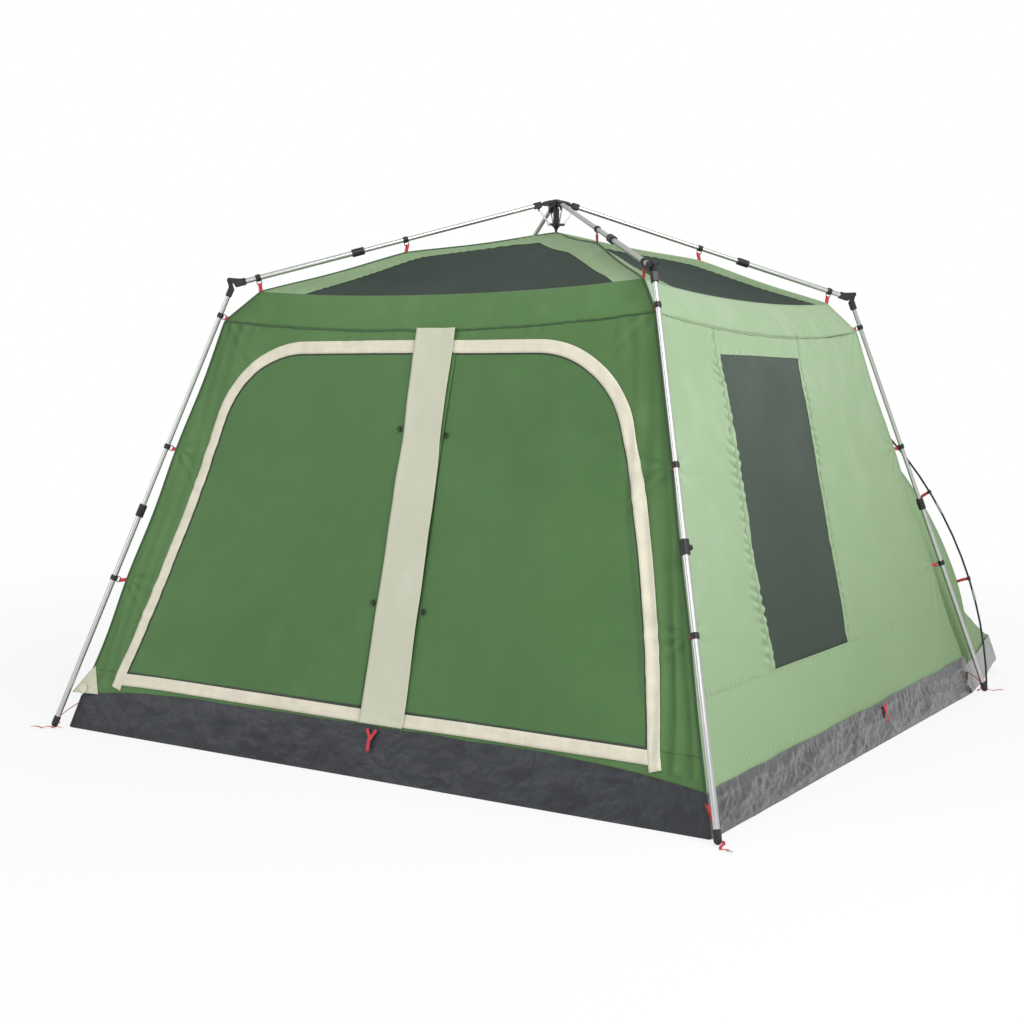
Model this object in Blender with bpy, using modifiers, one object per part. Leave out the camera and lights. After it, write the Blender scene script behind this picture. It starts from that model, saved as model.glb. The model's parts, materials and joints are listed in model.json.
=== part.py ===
"""Pop-up cabin tent: a folding, telescopic frame with a central hub and four legs, a sewn tent body that
hangs inside it, and a rear bay on an arch pole of its own. Metres, +Z up, +Y to the rear, +X to the right
of someone who looks along +Y. The origin is on the ground, midway between the four feet."""

import math

import bmesh
import bpy
from mathutils import Matrix, Vector

# Frame: where the joints are, in the upright plane through the centre and one corner
foot_half_span = 1.410
foot_ball_height = 0.0162
elbow_half_span = 0.919
elbow_height = 1.729
hub_pivot_radius = 0.050
hub_pivot_height = 2.083
elbow_pin_offset = 0.020

# Tubes: a thin one slides in a thick one, and a collar on the thick one holds it
thick_tube_radius = 0.0105
tube_wall = 0.0012
telescope_gap = 0.00055
thin_tube_radius = thick_tube_radius - tube_wall - telescope_gap
tube_overlap = 0.060
roof_collar_place = 0.779
leg_collar_place = 0.942
seat_gap = 0.0003
round_sides = 16

# Collars, with the leg's push button in a boss
collar_wall = 0.005
collar_length = 0.036
collar_lip = 0.014
boss_radius = 0.0095
boss_rise = 0.006
boss_place = 0.012
pocket_depth = 0.005
button_radius = 0.0065
button_rise = 0.003
button_length = 0.005
collar_radius = thick_tube_radius + collar_wall
boss_reach = collar_radius + boss_rise
pocket_floor = boss_reach - pocket_depth
button_top = boss_reach + button_rise

# Elbow: two ears of the roof bracket hold a tongue of the leg bracket
elbow_pin_radius = 0.003
elbow_head_radius = 0.005
ear_inner = 0.007
ear_outer = 0.011
tongue_half = 0.0060
roof_socket_start = 0.016
roof_socket_end = 0.062
roof_socket_wall = 0.0035
roof_socket_side = 0.0025
leg_socket_start = 0.022
leg_socket_end = 0.062
leg_socket_wall = 0.00325
socket_floor = 0.0017
roof_socket_half = thick_tube_radius + roof_socket_wall
roof_socket_width = 2 * (thick_tube_radius + roof_socket_side)
leg_socket_half = thin_tube_radius + leg_socket_wall

# Hub, sleeve and struts, measured from the height of the hub's pins
hub_pin_radius = 0.0025
hub_arm_half = 0.009
hub_slot_half = 0.0033
hub_post_radius = 0.007
hub_post_bottom = -0.072
knuckle_start = 0.014
knuckle_end = 0.046
knuckle_wall = 0.00225
knuckle_half = thin_tube_radius + knuckle_wall
knuckle_tongue_half = 0.003
lug_half = 0.0025
lug_radius = 0.005
strut_pin_radius = 0.002
lug_along = 0.0285
lug_below = 0.020
sleeve_lug_radius_place = 0.031
sleeve_lug_drop = 0.0825
sleeve_radius = 0.0125
sleeve_top = -0.018
sleeve_foot = -0.113
strut_thickness = 0.003
strut_half = 0.0035

# Foot caps
foot_cap_length = 0.032
foot_cap_wall = 0.0025
foot_cap_radius = thick_tube_radius + foot_cap_wall

# Tent body: a straight wall from the ground to the lower eave seam, a turned-in band and a low roof
fabric_thickness = 0.003
seam_gap = 0.0009
canopy_hem_gap = 0.0023
wall_side_trim = 0.0038
floor_half = 1.368
band_height = 0.134
lower_seam_half = 0.940
lower_seam_height = 1.590
upper_seam_half = 0.843
upper_seam_height = 1.703
knee_half = 0.438
knee_height = 1.872
apex_height = 1.967
tab_half = 0.030
tab_past_foot = 0.0406
tab_thickness = 0.0025

# Doors: two panels that are sewn to a centre strip and unzip along the rest of their outline
door_foot = 0.215
door_top = 1.530
door_margin = 0.165
door_corner_radius = 0.380
strip_centre = 0.095
strip_half_bottom = 0.088
strip_half_top = 0.080
zip_gap = 0.001

# Rear bay and its arch pole
bay_half = 1.290
bay_rear = 2.030
bay_opening_half = 1.180
bay_opening_top = 1.380
arch_pole_radius = 0.0045
arch_height = 1.586
arch_lean = math.radians(-8.1)
arch_foot_back = 0.035
arch_fabric_inset = 0.055
arch_foot_gap = 0.0009
arch_points = 49
opening_steps = 18
bay_corner_steps = 2
bay_fold_in = 0.030
bay_side_in = 0.006
bay_side_out = 0.004
bay_lap = 0.012
bay_lift = 0.0008

corner_azimuths = {"front_right": -45.0, "rear_right": 45.0, "rear_left": 135.0, "front_left": 225.0}
wall_yaws = {"front": 0.0, "right": 90.0, "rear": 180.0, "left": 270.0}


def cleared_collection(name):
    """Removes every object of the scene and returns a new, empty collection."""
    for old in list(bpy.data.objects):
        bpy.data.objects.remove(old, do_unlink=True)
    collection = bpy.data.collections.new(name)
    bpy.context.scene.collection.children.link(collection)
    return collection


tent = cleared_collection("pop_up_tent")
cutters = bpy.data.collections.new("pop_up_tent_cutters")
bpy.context.scene.collection.children.link(cutters)
cutters.hide_render = True


def make_material(name, colour, roughness, metallic=0.0):
    made = bpy.data.materials.new(name)
    made.use_nodes = True
    shader = made.node_tree.nodes["Principled BSDF"]
    shader.inputs["Base Color"].default_value = (*colour, 1.0)
    shader.inputs["Roughness"].default_value = roughness
    shader.inputs["Metallic"].default_value = metallic
    return made


tube_metal = make_material("aluminium_tube", (0.72, 0.73, 0.74), 0.32, 1.0)
strut_metal = make_material("strut_metal", (0.62, 0.63, 0.64), 0.35, 1.0)
black_plastic = make_material("black_plastic", (0.018, 0.018, 0.02), 0.45)
black_rod = make_material("black_fibreglass", (0.03, 0.03, 0.03), 0.4)
green_fabric = make_material("green_fabric", (0.05, 0.16, 0.045), 0.6)
sage_fabric = make_material("sage_fabric", (0.20, 0.34, 0.16), 0.6)
tub_fabric = make_material("tub_fabric", (0.05, 0.055, 0.06), 0.4)


# Shapes. Each returns a loose object with its geometry in the piece's own frame.


def loose(mesh):
    obj = bpy.data.objects.new("shape", mesh)
    obj.display_type = "WIRE"
    obj.hide_render = True
    cutters.objects.link(obj)
    return obj


def from_bmesh(bm):
    bmesh.ops.recalc_face_normals(bm, faces=bm.faces)
    mesh = bpy.data.meshes.new("shape")
    bm.to_mesh(mesh)
    bm.free()
    return loose(mesh)


def evaluated_mesh(obj):
    graph = bpy.context.evaluated_depsgraph_get()
    graph.update()
    mesh = bpy.data.meshes.new_from_object(obj.evaluated_get(graph))
    mesh.transform(obj.matrix_world)
    return mesh


def box(low, high, bevel=0.0):
    """A block between two corners, with its edges cut back by the bevel."""
    low, high = Vector(low), Vector(high)
    bm = bmesh.new()
    bmesh.ops.create_cube(bm, size=1.0)
    bmesh.ops.scale(bm, vec=high - low, verts=bm.verts)
    bmesh.ops.translate(bm, vec=(low + high) / 2, verts=bm.verts)
    if bevel:
        bmesh.ops.bevel(bm, geom=bm.edges[:], offset=bevel, segments=1, affect="EDGES")
    return from_bmesh(bm)


def rod(radius, start, end, sides=12):
    """A cylinder from one point to another."""
    start, end = Vector(start), Vector(end)
    turn = (end - start).to_track_quat("Z", "Y").to_matrix().to_4x4()
    place = Matrix.Translation((start + end) / 2) @ turn
    bm = bmesh.new()
    bmesh.ops.create_cone(bm, cap_ends=True, segments=sides, radius1=radius, radius2=radius,
                          depth=(end - start).length, matrix=place)
    return from_bmesh(bm)


def turned(profile, along_x=True, closed=True, sides=round_sides):
    """A (radius, place) profile, listed down its outer side, turned about Z or laid along X."""
    mesh = bpy.data.meshes.new("profile")
    count = len(profile)
    edges = [(i, (i + 1) % count) for i in range(count if closed else count - 1)]
    mesh.from_pydata([(r, 0.0, z) for r, z in profile], edges, [])
    obj = loose(mesh)
    screw = obj.modifiers.new("turn", "SCREW")
    screw.steps = screw.render_steps = sides
    screw.use_merge_vertices = True
    screw.merge_threshold = 0.00001
    made = evaluated_mesh(obj)
    bpy.data.objects.remove(obj)
    if along_x:
        made.transform(Matrix.Rotation(math.pi / 2, 4, "Y"))
    return loose(made)


def flat_solid(outlines, low, high, upright=True):
    """Closed outlines filled and given a thickness. Upright: they are (x, z) pairs and it is on Y.
    Else they are (x, y) pairs and the thickness is on Z."""
    curve = bpy.data.curves.new("outline", "CURVE")
    curve.dimensions = "2D"
    curve.fill_mode = "BOTH"
    curve.extrude = (high - low) / 2
    for points in outlines:
        spline = curve.splines.new("POLY")
        spline.points.add(len(points) - 1)
        for point, (x, y) in zip(spline.points, points):
            point.co = (x, y, 0.0, 1.0)
        spline.use_cyclic_u = True
    obj = loose(curve)
    middle = Matrix.Translation((0.0, 0.0, (low + high) / 2))
    stand = Matrix(((1, 0, 0, 0), (0, 0, 1, 0), (0, 1, 0, 0), (0, 0, 0, 1)))
    mesh = evaluated_mesh(obj)
    mesh.transform((stand if upright else Matrix()) @ middle)
    bpy.data.objects.remove(obj)
    bm = bmesh.new()
    bm.from_mesh(mesh)
    bmesh.ops.remove_doubles(bm, verts=bm.verts, dist=0.00001)
    return from_bmesh(bm)


def arc(centre, radius, first, last, steps):
    """Points on an arc between two angles in degrees."""
    angles = [math.radians(first + (last - first) * i / steps) for i in range(steps + 1)]
    return [(centre[0] + radius * math.cos(a), centre[1] + radius * math.sin(a)) for a in angles]


def joined(base, *steps):
    """The base with each step done in turn, where a step is ("add", shape) or ("cut", shape)."""
    for kind, shape in steps:
        modifier = base.modifiers.new(kind, "BOOLEAN")
        modifier.operation = "UNION" if kind == "add" else "DIFFERENCE"
        modifier.solver = "EXACT"
        modifier.object = shape
    bpy.context.view_layer.update()
    made = evaluated_mesh(base)
    for shape in [base] + [shape for _, shape in steps]:
        bpy.data.objects.remove(shape)
    return made


def smooth(mesh, degrees=35.0):
    mesh.shade_smooth()
    mesh.set_sharp_from_angle(angle=math.radians(degrees))
    return mesh


def empty(name, parent=None, location=(0, 0, 0), rotation=(0, 0, 0)):
    made = bpy.data.objects.new(name, None)
    made.empty_display_size = 0.05
    made.location = location
    made.rotation_euler = rotation
    made.parent = parent
    tent.objects.link(made)
    return made


def place(name, mesh, surface, parent, location=(0, 0, 0), rotation=(0, 0, 0)):
    """One sub-part. Its mesh may be shared by the same piece at the other corners."""
    if not mesh.materials:
        mesh.materials.append(surface)
    made = bpy.data.objects.new(name, mesh)
    made.location = location
    made.rotation_euler = rotation
    made.parent = parent
    tent.objects.link(made)
    return made


# The frame's lengths and angles, worked out from its joints

root_two = math.sqrt(2.0)
hub_point = Vector((hub_pivot_radius, hub_pivot_height))
elbow_point = Vector((elbow_half_span * root_two, elbow_height))
foot_point = Vector((foot_half_span * root_two, foot_ball_height))
roof_length = (elbow_point - hub_point).length
leg_length = (foot_point - elbow_point).length
roof_slope = math.atan2(hub_point.y - elbow_point.y, elbow_point.x - hub_point.x)
leg_slope = math.atan2(elbow_point.y - foot_point.y, foot_point.x - elbow_point.x)
elbow_turn = leg_slope - roof_slope
elbow_mitre = elbow_pin_offset * math.tan(elbow_turn / 2)
elbow_pin_place = roof_length + elbow_mitre


def tube_mesh(radius, start, end, wall=tube_wall):
    inner = radius - wall
    return smooth(joined(turned([(radius, end), (radius, start), (inner, start), (inner, end)])))


def collar_shape():
    bore = thick_tube_radius + seat_gap
    neck = thin_tube_radius + seat_gap
    edge = 0.001
    return turned([(collar_radius - edge, collar_length), (collar_radius, collar_length - edge),
                   (collar_radius, edge - collar_lip), (collar_radius - edge, -collar_lip),
                   (neck, -collar_lip), (neck, -seat_gap), (bore, -seat_gap), (bore, collar_length)])


def roof_collar_mesh():
    return smooth(joined(collar_shape()))


def leg_collar_mesh():
    boss = rod(boss_radius, (boss_place, thick_tube_radius + 0.0025, 0), (boss_place, boss_reach, 0))
    pocket = rod(button_radius + seat_gap, (boss_place, pocket_floor, 0), (boss_place, boss_reach + 0.01, 0))
    return smooth(joined(collar_shape(), ("add", boss), ("cut", pocket)))


def leg_button_mesh():
    """The button's frame has its origin on the collar's axis and its travel along Y."""
    crown = 0.001
    low = button_top - button_length
    shape = turned([(0, button_top), (button_radius - crown, button_top), (button_radius, button_top - crown),
                    (button_radius, low), (0, low)], along_x=False, closed=False, sides=12)
    mesh = joined(shape)
    mesh.transform(Matrix.Rotation(-math.pi / 2, 4, "X"))
    return smooth(mesh)


def foot_mesh():
    """A cap with a ball end. Its frame's origin is the ball's centre, and the leg comes from -X."""
    bore = thick_tube_radius + seat_gap
    ball = [(foot_cap_radius * math.cos(a), foot_cap_radius * math.sin(a))
            for a in (math.radians(90 - 22.5 * i) for i in range(1, 5))]
    return smooth(joined(turned([(0, foot_cap_radius)] + ball
                                + [(foot_cap_radius, -foot_cap_length), (bore, -foot_cap_length),
                                   (bore, -0.0015), (0, -0.0015)], closed=False)), 50)


def roof_bracket_mesh():
    """The frame's origin is the pin. The roof tube lies along X, below the pin, and comes from -X."""
    axis = -elbow_pin_offset
    socket = box((-roof_socket_end, -roof_socket_width / 2, axis - roof_socket_half),
                 (-roof_socket_start, roof_socket_width / 2, axis + roof_socket_half), 0.004)
    outline = ([(-0.050, -0.030), (-0.050, -0.008), (-0.014, 0.004)] + arc((0, 0), 0.009, 115, -50, 6)
               + [(-0.012, -0.016), (-0.018, -0.030)])
    ears = [flat_solid([outline], side * ear_inner if side > 0 else -ear_outer,
                       side * ear_outer if side > 0 else -ear_inner) for side in (1, -1)]
    pin = rod(elbow_pin_radius, (0, -ear_outer - 0.0005, 0), (0, ear_outer + 0.0005, 0))
    heads = [rod(elbow_head_radius, (0, side * (ear_outer - 0.001), 0), (0, side * (ear_outer + 0.0015), 0))
             for side in (1, -1)]
    bore = rod(thick_tube_radius + seat_gap, (-roof_socket_end - 0.01, 0, axis),
               (-roof_socket_start - socket_floor, 0, axis), round_sides)
    return smooth(joined(socket, ("add", ears[0]), ("add", ears[1]), ("add", pin), ("add", heads[0]),
                         ("add", heads[1]), ("cut", bore)))


def leg_bracket_mesh():
    """The frame's origin is the pin. The leg lies along X, below the pin, and goes to +X."""
    axis = -elbow_pin_offset
    socket = box((leg_socket_start, -leg_socket_half, axis - leg_socket_half),
                 (leg_socket_end, leg_socket_half, axis + leg_socket_half), 0.004)
    outline = (arc((0, 0), 0.008, 60, 235, 6)
               + [(leg_socket_start + 0.002, -0.030), (0.040, -0.030), (0.040, -0.011),
                  (leg_socket_start + 0.004, -0.009)])
    tongue = flat_solid([outline], -tongue_half, tongue_half)
    hole = rod(elbow_pin_radius + seat_gap, (0, -0.02, 0), (0, 0.02, 0))
    bore = rod(thin_tube_radius + seat_gap, (leg_socket_start + socket_floor, 0, axis),
               (leg_socket_end + 0.01, 0, axis), round_sides)
    return smooth(joined(socket, ("add", tongue), ("cut", hole), ("cut", bore)))


def hub_mesh():
    """The frame's origin is the centre of the four hub pins, at their height."""
    dome = turned([(0, 0.019), (0.012, 0.018), (0.025, 0.0135), (0.033, 0.006), (0.033, -0.010),
                   (hub_post_radius, -0.012), (hub_post_radius, hub_post_bottom), (0, hub_post_bottom)],
                  along_x=False, closed=False)
    outline = ([(0.010, -0.009), (0.010, 0.0165), (0.030, 0.0135)]
               + arc((hub_pivot_radius, 0), 0.0085, 80, -90, 6) + [(0.035, -0.009)])
    steps = []
    for azimuth in corner_azimuths.values():
        turn = Matrix.Rotation(math.radians(azimuth), 4, "Z")
        arm = flat_solid([outline], -hub_arm_half, hub_arm_half)
        slot = box((hub_pivot_radius - 0.012, -hub_slot_half, -0.02),
                   (hub_pivot_radius + 0.02, hub_slot_half, 0.02))
        pin = rod(hub_pin_radius, (hub_pivot_radius, -hub_arm_half + 0.001, 0),
                  (hub_pivot_radius, hub_arm_half - 0.001, 0))
        for shape in (arm, slot, pin):
            shape.data.transform(turn)
        steps += [("add", arm), ("cut", slot), ("add", pin)]
    return smooth(joined(dome, *steps))


def slider_mesh():
    """The sleeve that runs on the hub's post, with a lug for each strut and the tip that carries the roof."""
    bore = hub_post_radius + 0.0005
    sleeve = turned([(0, -0.092), (bore, -0.092), (bore, sleeve_top), (sleeve_radius, sleeve_top),
                     (sleeve_radius, -0.074), (0.016, -0.078), (0.016, -0.090), (0.011, -0.094),
                     (0.0055, -0.104), (0.005, sleeve_foot), (0, sleeve_foot)], along_x=False, closed=False)
    centre = (sleeve_lug_radius_place, -sleeve_lug_drop)
    outline = [(0.013, -sleeve_lug_drop - lug_radius), (0.013, -sleeve_lug_drop + lug_radius)]
    outline += arc(centre, lug_radius, 90, -90, 6)
    steps = []
    for azimuth in corner_azimuths.values():
        lug = flat_solid([outline], -lug_half, lug_half)
        lug.data.transform(Matrix.Rotation(math.radians(azimuth), 4, "Z"))
        steps.append(("add", lug))
    return smooth(joined(sleeve, *steps))


# The strut's pins, in the roof pole's own frame
sleeve_offset = Vector((sleeve_lug_radius_place - hub_pivot_radius, -sleeve_lug_drop))
pole_along = Vector((math.cos(roof_slope), -math.sin(roof_slope)))
pole_up = Vector((math.sin(roof_slope), math.cos(roof_slope)))
lug_point = Vector((lug_along, -lug_below))
strut_run = sleeve_offset - pole_along * lug_point.x - pole_up * lug_point.y
strut_length = strut_run.length
strut_angle = math.atan2(-strut_run.dot(pole_up), strut_run.dot(pole_along))


def knuckle_mesh():
    """The frame's origin is the hub's pin, and the roof tube goes to +X."""
    block = box((knuckle_start, -knuckle_half, -knuckle_half - 0.0015),
                (knuckle_end, knuckle_half, knuckle_half + 0.0015), 0.0025)
    tongue = flat_solid([arc((0, 0), 0.006, 90, 270, 6) + [(0.018, -0.006), (0.018, 0.006)]],
                        -knuckle_tongue_half, knuckle_tongue_half)
    lug = flat_solid([[(lug_point.x - lug_radius, -0.010)] + arc(lug_point, lug_radius, 180, 360, 6)
                      + [(lug_point.x + lug_radius, -0.010)]], -lug_half, lug_half)
    pin = rod(strut_pin_radius, (lug_point.x, -lug_half - 0.001, lug_point.y),
              (lug_point.x, lug_half + strut_thickness + 0.0016, lug_point.y))
    hole = rod(hub_pin_radius + seat_gap, (0, -0.02, 0), (0, 0.02, 0))
    bore = rod(thin_tube_radius + seat_gap, (knuckle_start + 0.0037, 0, 0), (knuckle_end + 0.01, 0, 0),
               round_sides)
    return smooth(joined(block, ("add", tongue), ("add", lug), ("add", pin), ("cut", hole), ("cut", bore)))


def strut_mesh():
    """A flat bar with round ends, from its pin at the origin to +X, beside the lugs."""
    ends = arc((0, 0), strut_half, 90, 270, 6) + arc((strut_length, 0), strut_half, -90, 90, 6)
    low = lug_half + seat_gap
    hole = rod(strut_pin_radius + seat_gap, (0, 0, 0), (0, 0.02, 0))
    return smooth(joined(flat_solid([ends], low, low + strut_thickness), ("cut", hole)))


def build_frame():
    hub = empty("hub_frame", location=(0, 0, hub_pivot_height))
    place("hub_top", hub_mesh(), black_plastic, hub)
    place("hub_slider", slider_mesh(), black_plastic, hub)
    collar_back = roof_collar_place - elbow_pin_place
    leg_end = elbow_mitre + leg_length
    leg_collar = elbow_mitre + leg_collar_place
    socket_face = roof_socket_start + socket_floor + seat_gap
    meshes = {
        "knuckle": knuckle_mesh(),
        "strut": strut_mesh(),
        "roof_tube_inner": tube_mesh(
            thin_tube_radius, knuckle_start + 0.004, roof_collar_place + tube_overlap
        ),
        "roof_tube_outer": tube_mesh(thick_tube_radius, collar_back, -socket_face),
        "roof_collar": roof_collar_mesh(),
        "elbow_roof_bracket": roof_bracket_mesh(),
        "elbow_leg_bracket": leg_bracket_mesh(),
        "leg_tube_upper": tube_mesh(thin_tube_radius, leg_socket_start + socket_floor + seat_gap,
                                    leg_collar + tube_overlap),
        "leg_tube_lower": tube_mesh(thick_tube_radius, 0.0, leg_end - leg_collar - 0.0018),
        "leg_collar": leg_collar_mesh(),
        "leg_button": leg_button_mesh(),
        "foot": foot_mesh(),
    }
    tube_line = (0, 0, -elbow_pin_offset)
    for corner, azimuth in corner_azimuths.items():
        plane = empty(f"corner_{corner}", rotation=(0, 0, math.radians(azimuth)))
        hub_pivot = (hub_pivot_radius, 0, hub_pivot_height)
        pole = empty(f"roof_pole_{corner}", plane, hub_pivot, (0, roof_slope, 0))
        elbow = empty(f"elbow_{corner}", pole, (elbow_pin_place, 0, elbow_pin_offset))
        leg = empty(f"leg_{corner}", elbow, rotation=(0, elbow_turn, 0))
        slide = empty(f"leg_slide_{corner}", leg, (leg_collar, 0, -elbow_pin_offset))
        for piece, surface, parent, location, rotation in (
            ("knuckle", black_plastic, pole, (0, 0, 0), (0, 0, 0)),
            ("strut", strut_metal, pole, (lug_point.x, 0, lug_point.y), (0, strut_angle, 0)),
            ("roof_tube_inner", tube_metal, pole, (0, 0, 0), (0, 0, 0)),
            ("roof_tube_outer", tube_metal, elbow, tube_line, (0, 0, 0)),
            ("roof_collar", black_plastic, elbow, (collar_back, 0, -elbow_pin_offset), (0, 0, 0)),
            ("elbow_roof_bracket", black_plastic, elbow, (0, 0, 0), (0, 0, 0)),
            ("elbow_leg_bracket", black_plastic, leg, (0, 0, 0), (0, 0, 0)),
            ("leg_tube_upper", tube_metal, leg, tube_line, (0, 0, 0)),
            ("leg_tube_lower", tube_metal, slide, (0, 0, 0), (0, 0, 0)),
            ("leg_collar", black_plastic, slide, (0, 0, 0), (0, 0, 0)),
            ("leg_button", black_plastic, slide, (boss_place, 0, 0), (0, 0, 0)),
            ("foot", black_plastic, slide, (leg_end - leg_collar, 0, 0), (0, 0, 0)),
        ):
            place(f"{piece}_{corner}", meshes[piece], surface, parent, location, rotation)


# Tent body

wall_run = Vector((floor_half - lower_seam_half, lower_seam_height))
wall_lean = math.atan2(wall_run.x, wall_run.y)
wall_slant = wall_run.length


def wall_half_width(up):
    """Half the wall's width at a distance up its slope."""
    return floor_half - up * math.sin(wall_lean)


def inset_at(height):
    """How far the wall has leaned in at a height."""
    return height * math.tan(wall_lean)


def shell_mesh(points, faces, thickness=fabric_thickness):
    """An open surface, its faces pointing outwards, thickened to the inside."""
    mesh = bpy.data.meshes.new("surface")
    mesh.from_pydata(points, [], faces)
    obj = loose(mesh)
    solidify = obj.modifiers.new("thickness", "SOLIDIFY")
    solidify.thickness = thickness
    solidify.offset = -1.0
    solidify.use_even_offset = True
    return joined(obj)


def corner_tab(sign_x, sign_y):
    """The webbing tab that runs out from a floor corner, under the foot and past it."""
    tab_length = (foot_half_span - floor_half) * root_two + tab_past_foot
    corner = Vector((sign_x * floor_half, sign_y * floor_half))
    out = Vector((sign_x, sign_y)).normalized()
    side = Vector((-out.y, out.x)) * tab_half
    points = [corner - out * 0.05 + side, corner - out * 0.05 - side, corner + out * tab_length - side,
              corner + out * tab_length + side]
    return flat_solid([[tuple(p) for p in points]], 0.0, tab_thickness, upright=False)


def floor_tub_mesh():
    lean = inset_at(band_height)
    low = [(-floor_half, -floor_half), (floor_half, -floor_half), (floor_half, floor_half)]
    low += [(bay_half, bay_rear), (-bay_half, bay_rear), (-floor_half, floor_half)]
    high = [(x - math.copysign(lean, x), y + lean if y < 0 else y if abs(y) == floor_half else y - lean)
            for x, y in low]
    count = len(low)
    points = [(x, y, 0.0) for x, y in low] + [(x, y, band_height) for x, y in high]
    faces = [(i, (i + 1) % count, count + (i + 1) % count, count + i) for i in range(count)]
    faces.append(tuple(reversed(range(count))))
    tub = loose(shell_mesh(points, faces, tab_thickness))
    tabs = [("add", corner_tab(x, y)) for x in (-1, 1) for y in (-1, 1)]
    return joined(tub, *tabs)


def wall_outline(foot, top, trim):
    """The sloping wall's trapezoid, as (across, up the slope) pairs."""
    return [(-wall_half_width(foot) + trim, foot), (wall_half_width(foot) - trim, foot),
            (wall_half_width(top) - trim, top), (-wall_half_width(top) + trim, top)]


def door_outline(side, inset=0.0):
    """One door, from its lower hinge corner round to its upper one: side -1 is the left, 1 the right."""
    foot, top = door_foot + inset, door_top - inset
    lean = math.degrees(wall_lean)
    radius = door_corner_radius - inset
    edge = door_margin + inset / math.cos(wall_lean)
    hinge = side * strip_centre

    def hinge_at(up):
        share = (up - door_foot) / (door_top - door_foot)
        return hinge + strip_half_bottom + (strip_half_top - strip_half_bottom) * share + inset

    turn = math.radians(90 - lean)
    corner = wall_half_width(top) - edge
    run = radius * math.tan(turn / 2)
    centre = (corner - run, top - radius)
    points = [(hinge_at(foot), foot), (wall_half_width(foot) - edge, foot)]
    points += arc(centre, radius, lean, 90, 8)
    points.append((hinge_at(top), top))
    return [(side * x, y) for x, y in points]


def wall_plate(outlines):
    return flat_solid(outlines, -fabric_thickness, 0.0, upright=False)


def roof_mesh():
    rings = [(lower_seam_half, lower_seam_height + canopy_hem_gap), (upper_seam_half, upper_seam_height),
             (knee_half, knee_height)]
    signs = [(-1, -1), (1, -1), (1, 1), (-1, 1)]
    points = [(x * half, y * half, height) for half, height in rings for x, y in signs]
    points.append((0, 0, apex_height))
    faces = [(ring + i, ring + (i + 1) % 4, ring + 4 + (i + 1) % 4, ring + 4 + i)
             for ring in (0, 4) for i in range(4)]
    faces += [(8 + i, 8 + (i + 1) % 4, 12) for i in range(4)]
    return shell_mesh(points, faces)


def arch_point(angle, inset=0.0):
    """A point on the arch pole, or inside it by the inset. The angle runs from the right foot to the left."""
    rise = (arch_height - inset) * math.sin(angle)
    return Vector(((foot_half_span - inset) * math.cos(angle),
                   foot_half_span + arch_foot_back + rise * math.sin(arch_lean),
                   tab_thickness + arch_foot_gap + rise * math.cos(arch_lean)))


def arch_pole_mesh():
    curve = bpy.data.curves.new("arch", "CURVE")
    curve.dimensions = "3D"
    curve.bevel_depth = arch_pole_radius
    curve.bevel_resolution = 2
    curve.use_fill_caps = True
    spline = curve.splines.new("POLY")
    spline.points.add(arch_points - 1)
    for i, point in enumerate(spline.points):
        point.co = (*arch_point(math.pi * i / (arch_points - 1)), 1.0)
    obj = loose(curve)
    mesh = evaluated_mesh(obj)
    bpy.data.objects.remove(obj)
    bm = bmesh.new()
    bm.from_mesh(mesh)
    bmesh.ops.remove_doubles(bm, verts=bm.verts, dist=0.00001)
    return smooth(joined(from_bmesh(bm)), 50)


def opening_point(angle):
    """A point on the rear wall's opening, as (across, up the slope)."""
    return (bay_opening_half * math.cos(angle),
            door_foot + (bay_opening_top - door_foot) * math.sin(angle))


def bay_mesh():
    """Three ribs of fabric: the opening's edge on the rear wall, under the pole, and the tub's rear edge."""
    steps = opening_steps
    lean = inset_at(band_height)
    foot = band_height + fabric_thickness
    side = (floor_half - lean - bay_side_in, floor_half + bay_side_out)
    corner = (bay_half - lean, bay_rear - lean)
    points = []
    for i in range(steps + 1):
        angle = math.pi * i / steps
        across, up = opening_point(angle)
        out = bay_lift
        wall = Vector((across, floor_half - up * math.sin(wall_lean) + out * math.cos(wall_lean),
                       up * math.cos(wall_lean) + out * math.sin(wall_lean)))
        if i in (0, steps):
            wall.x, wall.z = math.copysign(wall_half_width(foot) - bay_fold_in, across), foot
            wall.y = floor_half - inset_at(foot) + out
        under = arch_point(angle, arch_fabric_inset)
        if i in (0, steps):
            under = Vector((math.copysign(side[0] - bay_side_out, under.x), side[1] + bay_side_out, foot))
        rank = min(i, steps - i)
        if rank <= bay_corner_steps:
            share = rank / bay_corner_steps
            x = side[0] + (corner[0] - side[0]) * share
            y = side[1] + bay_lap + (corner[1] - side[1] - bay_lap) * share
            base = Vector((math.copysign(x, steps / 2 - i), y, foot))
        else:
            share = (i - bay_corner_steps) / (steps - 2 * bay_corner_steps)
            base = Vector((corner[0] * (1 - 2 * share), corner[1], foot))
        points += [wall, under, base]
    faces = []
    for i in range(steps):
        a, b = 3 * i, 3 * i + 3
        faces += [(a, a + 1, b + 1, b), (a + 1, a + 2, b + 2, b + 1)]
    return shell_mesh([tuple(p) for p in points], faces)


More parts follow.
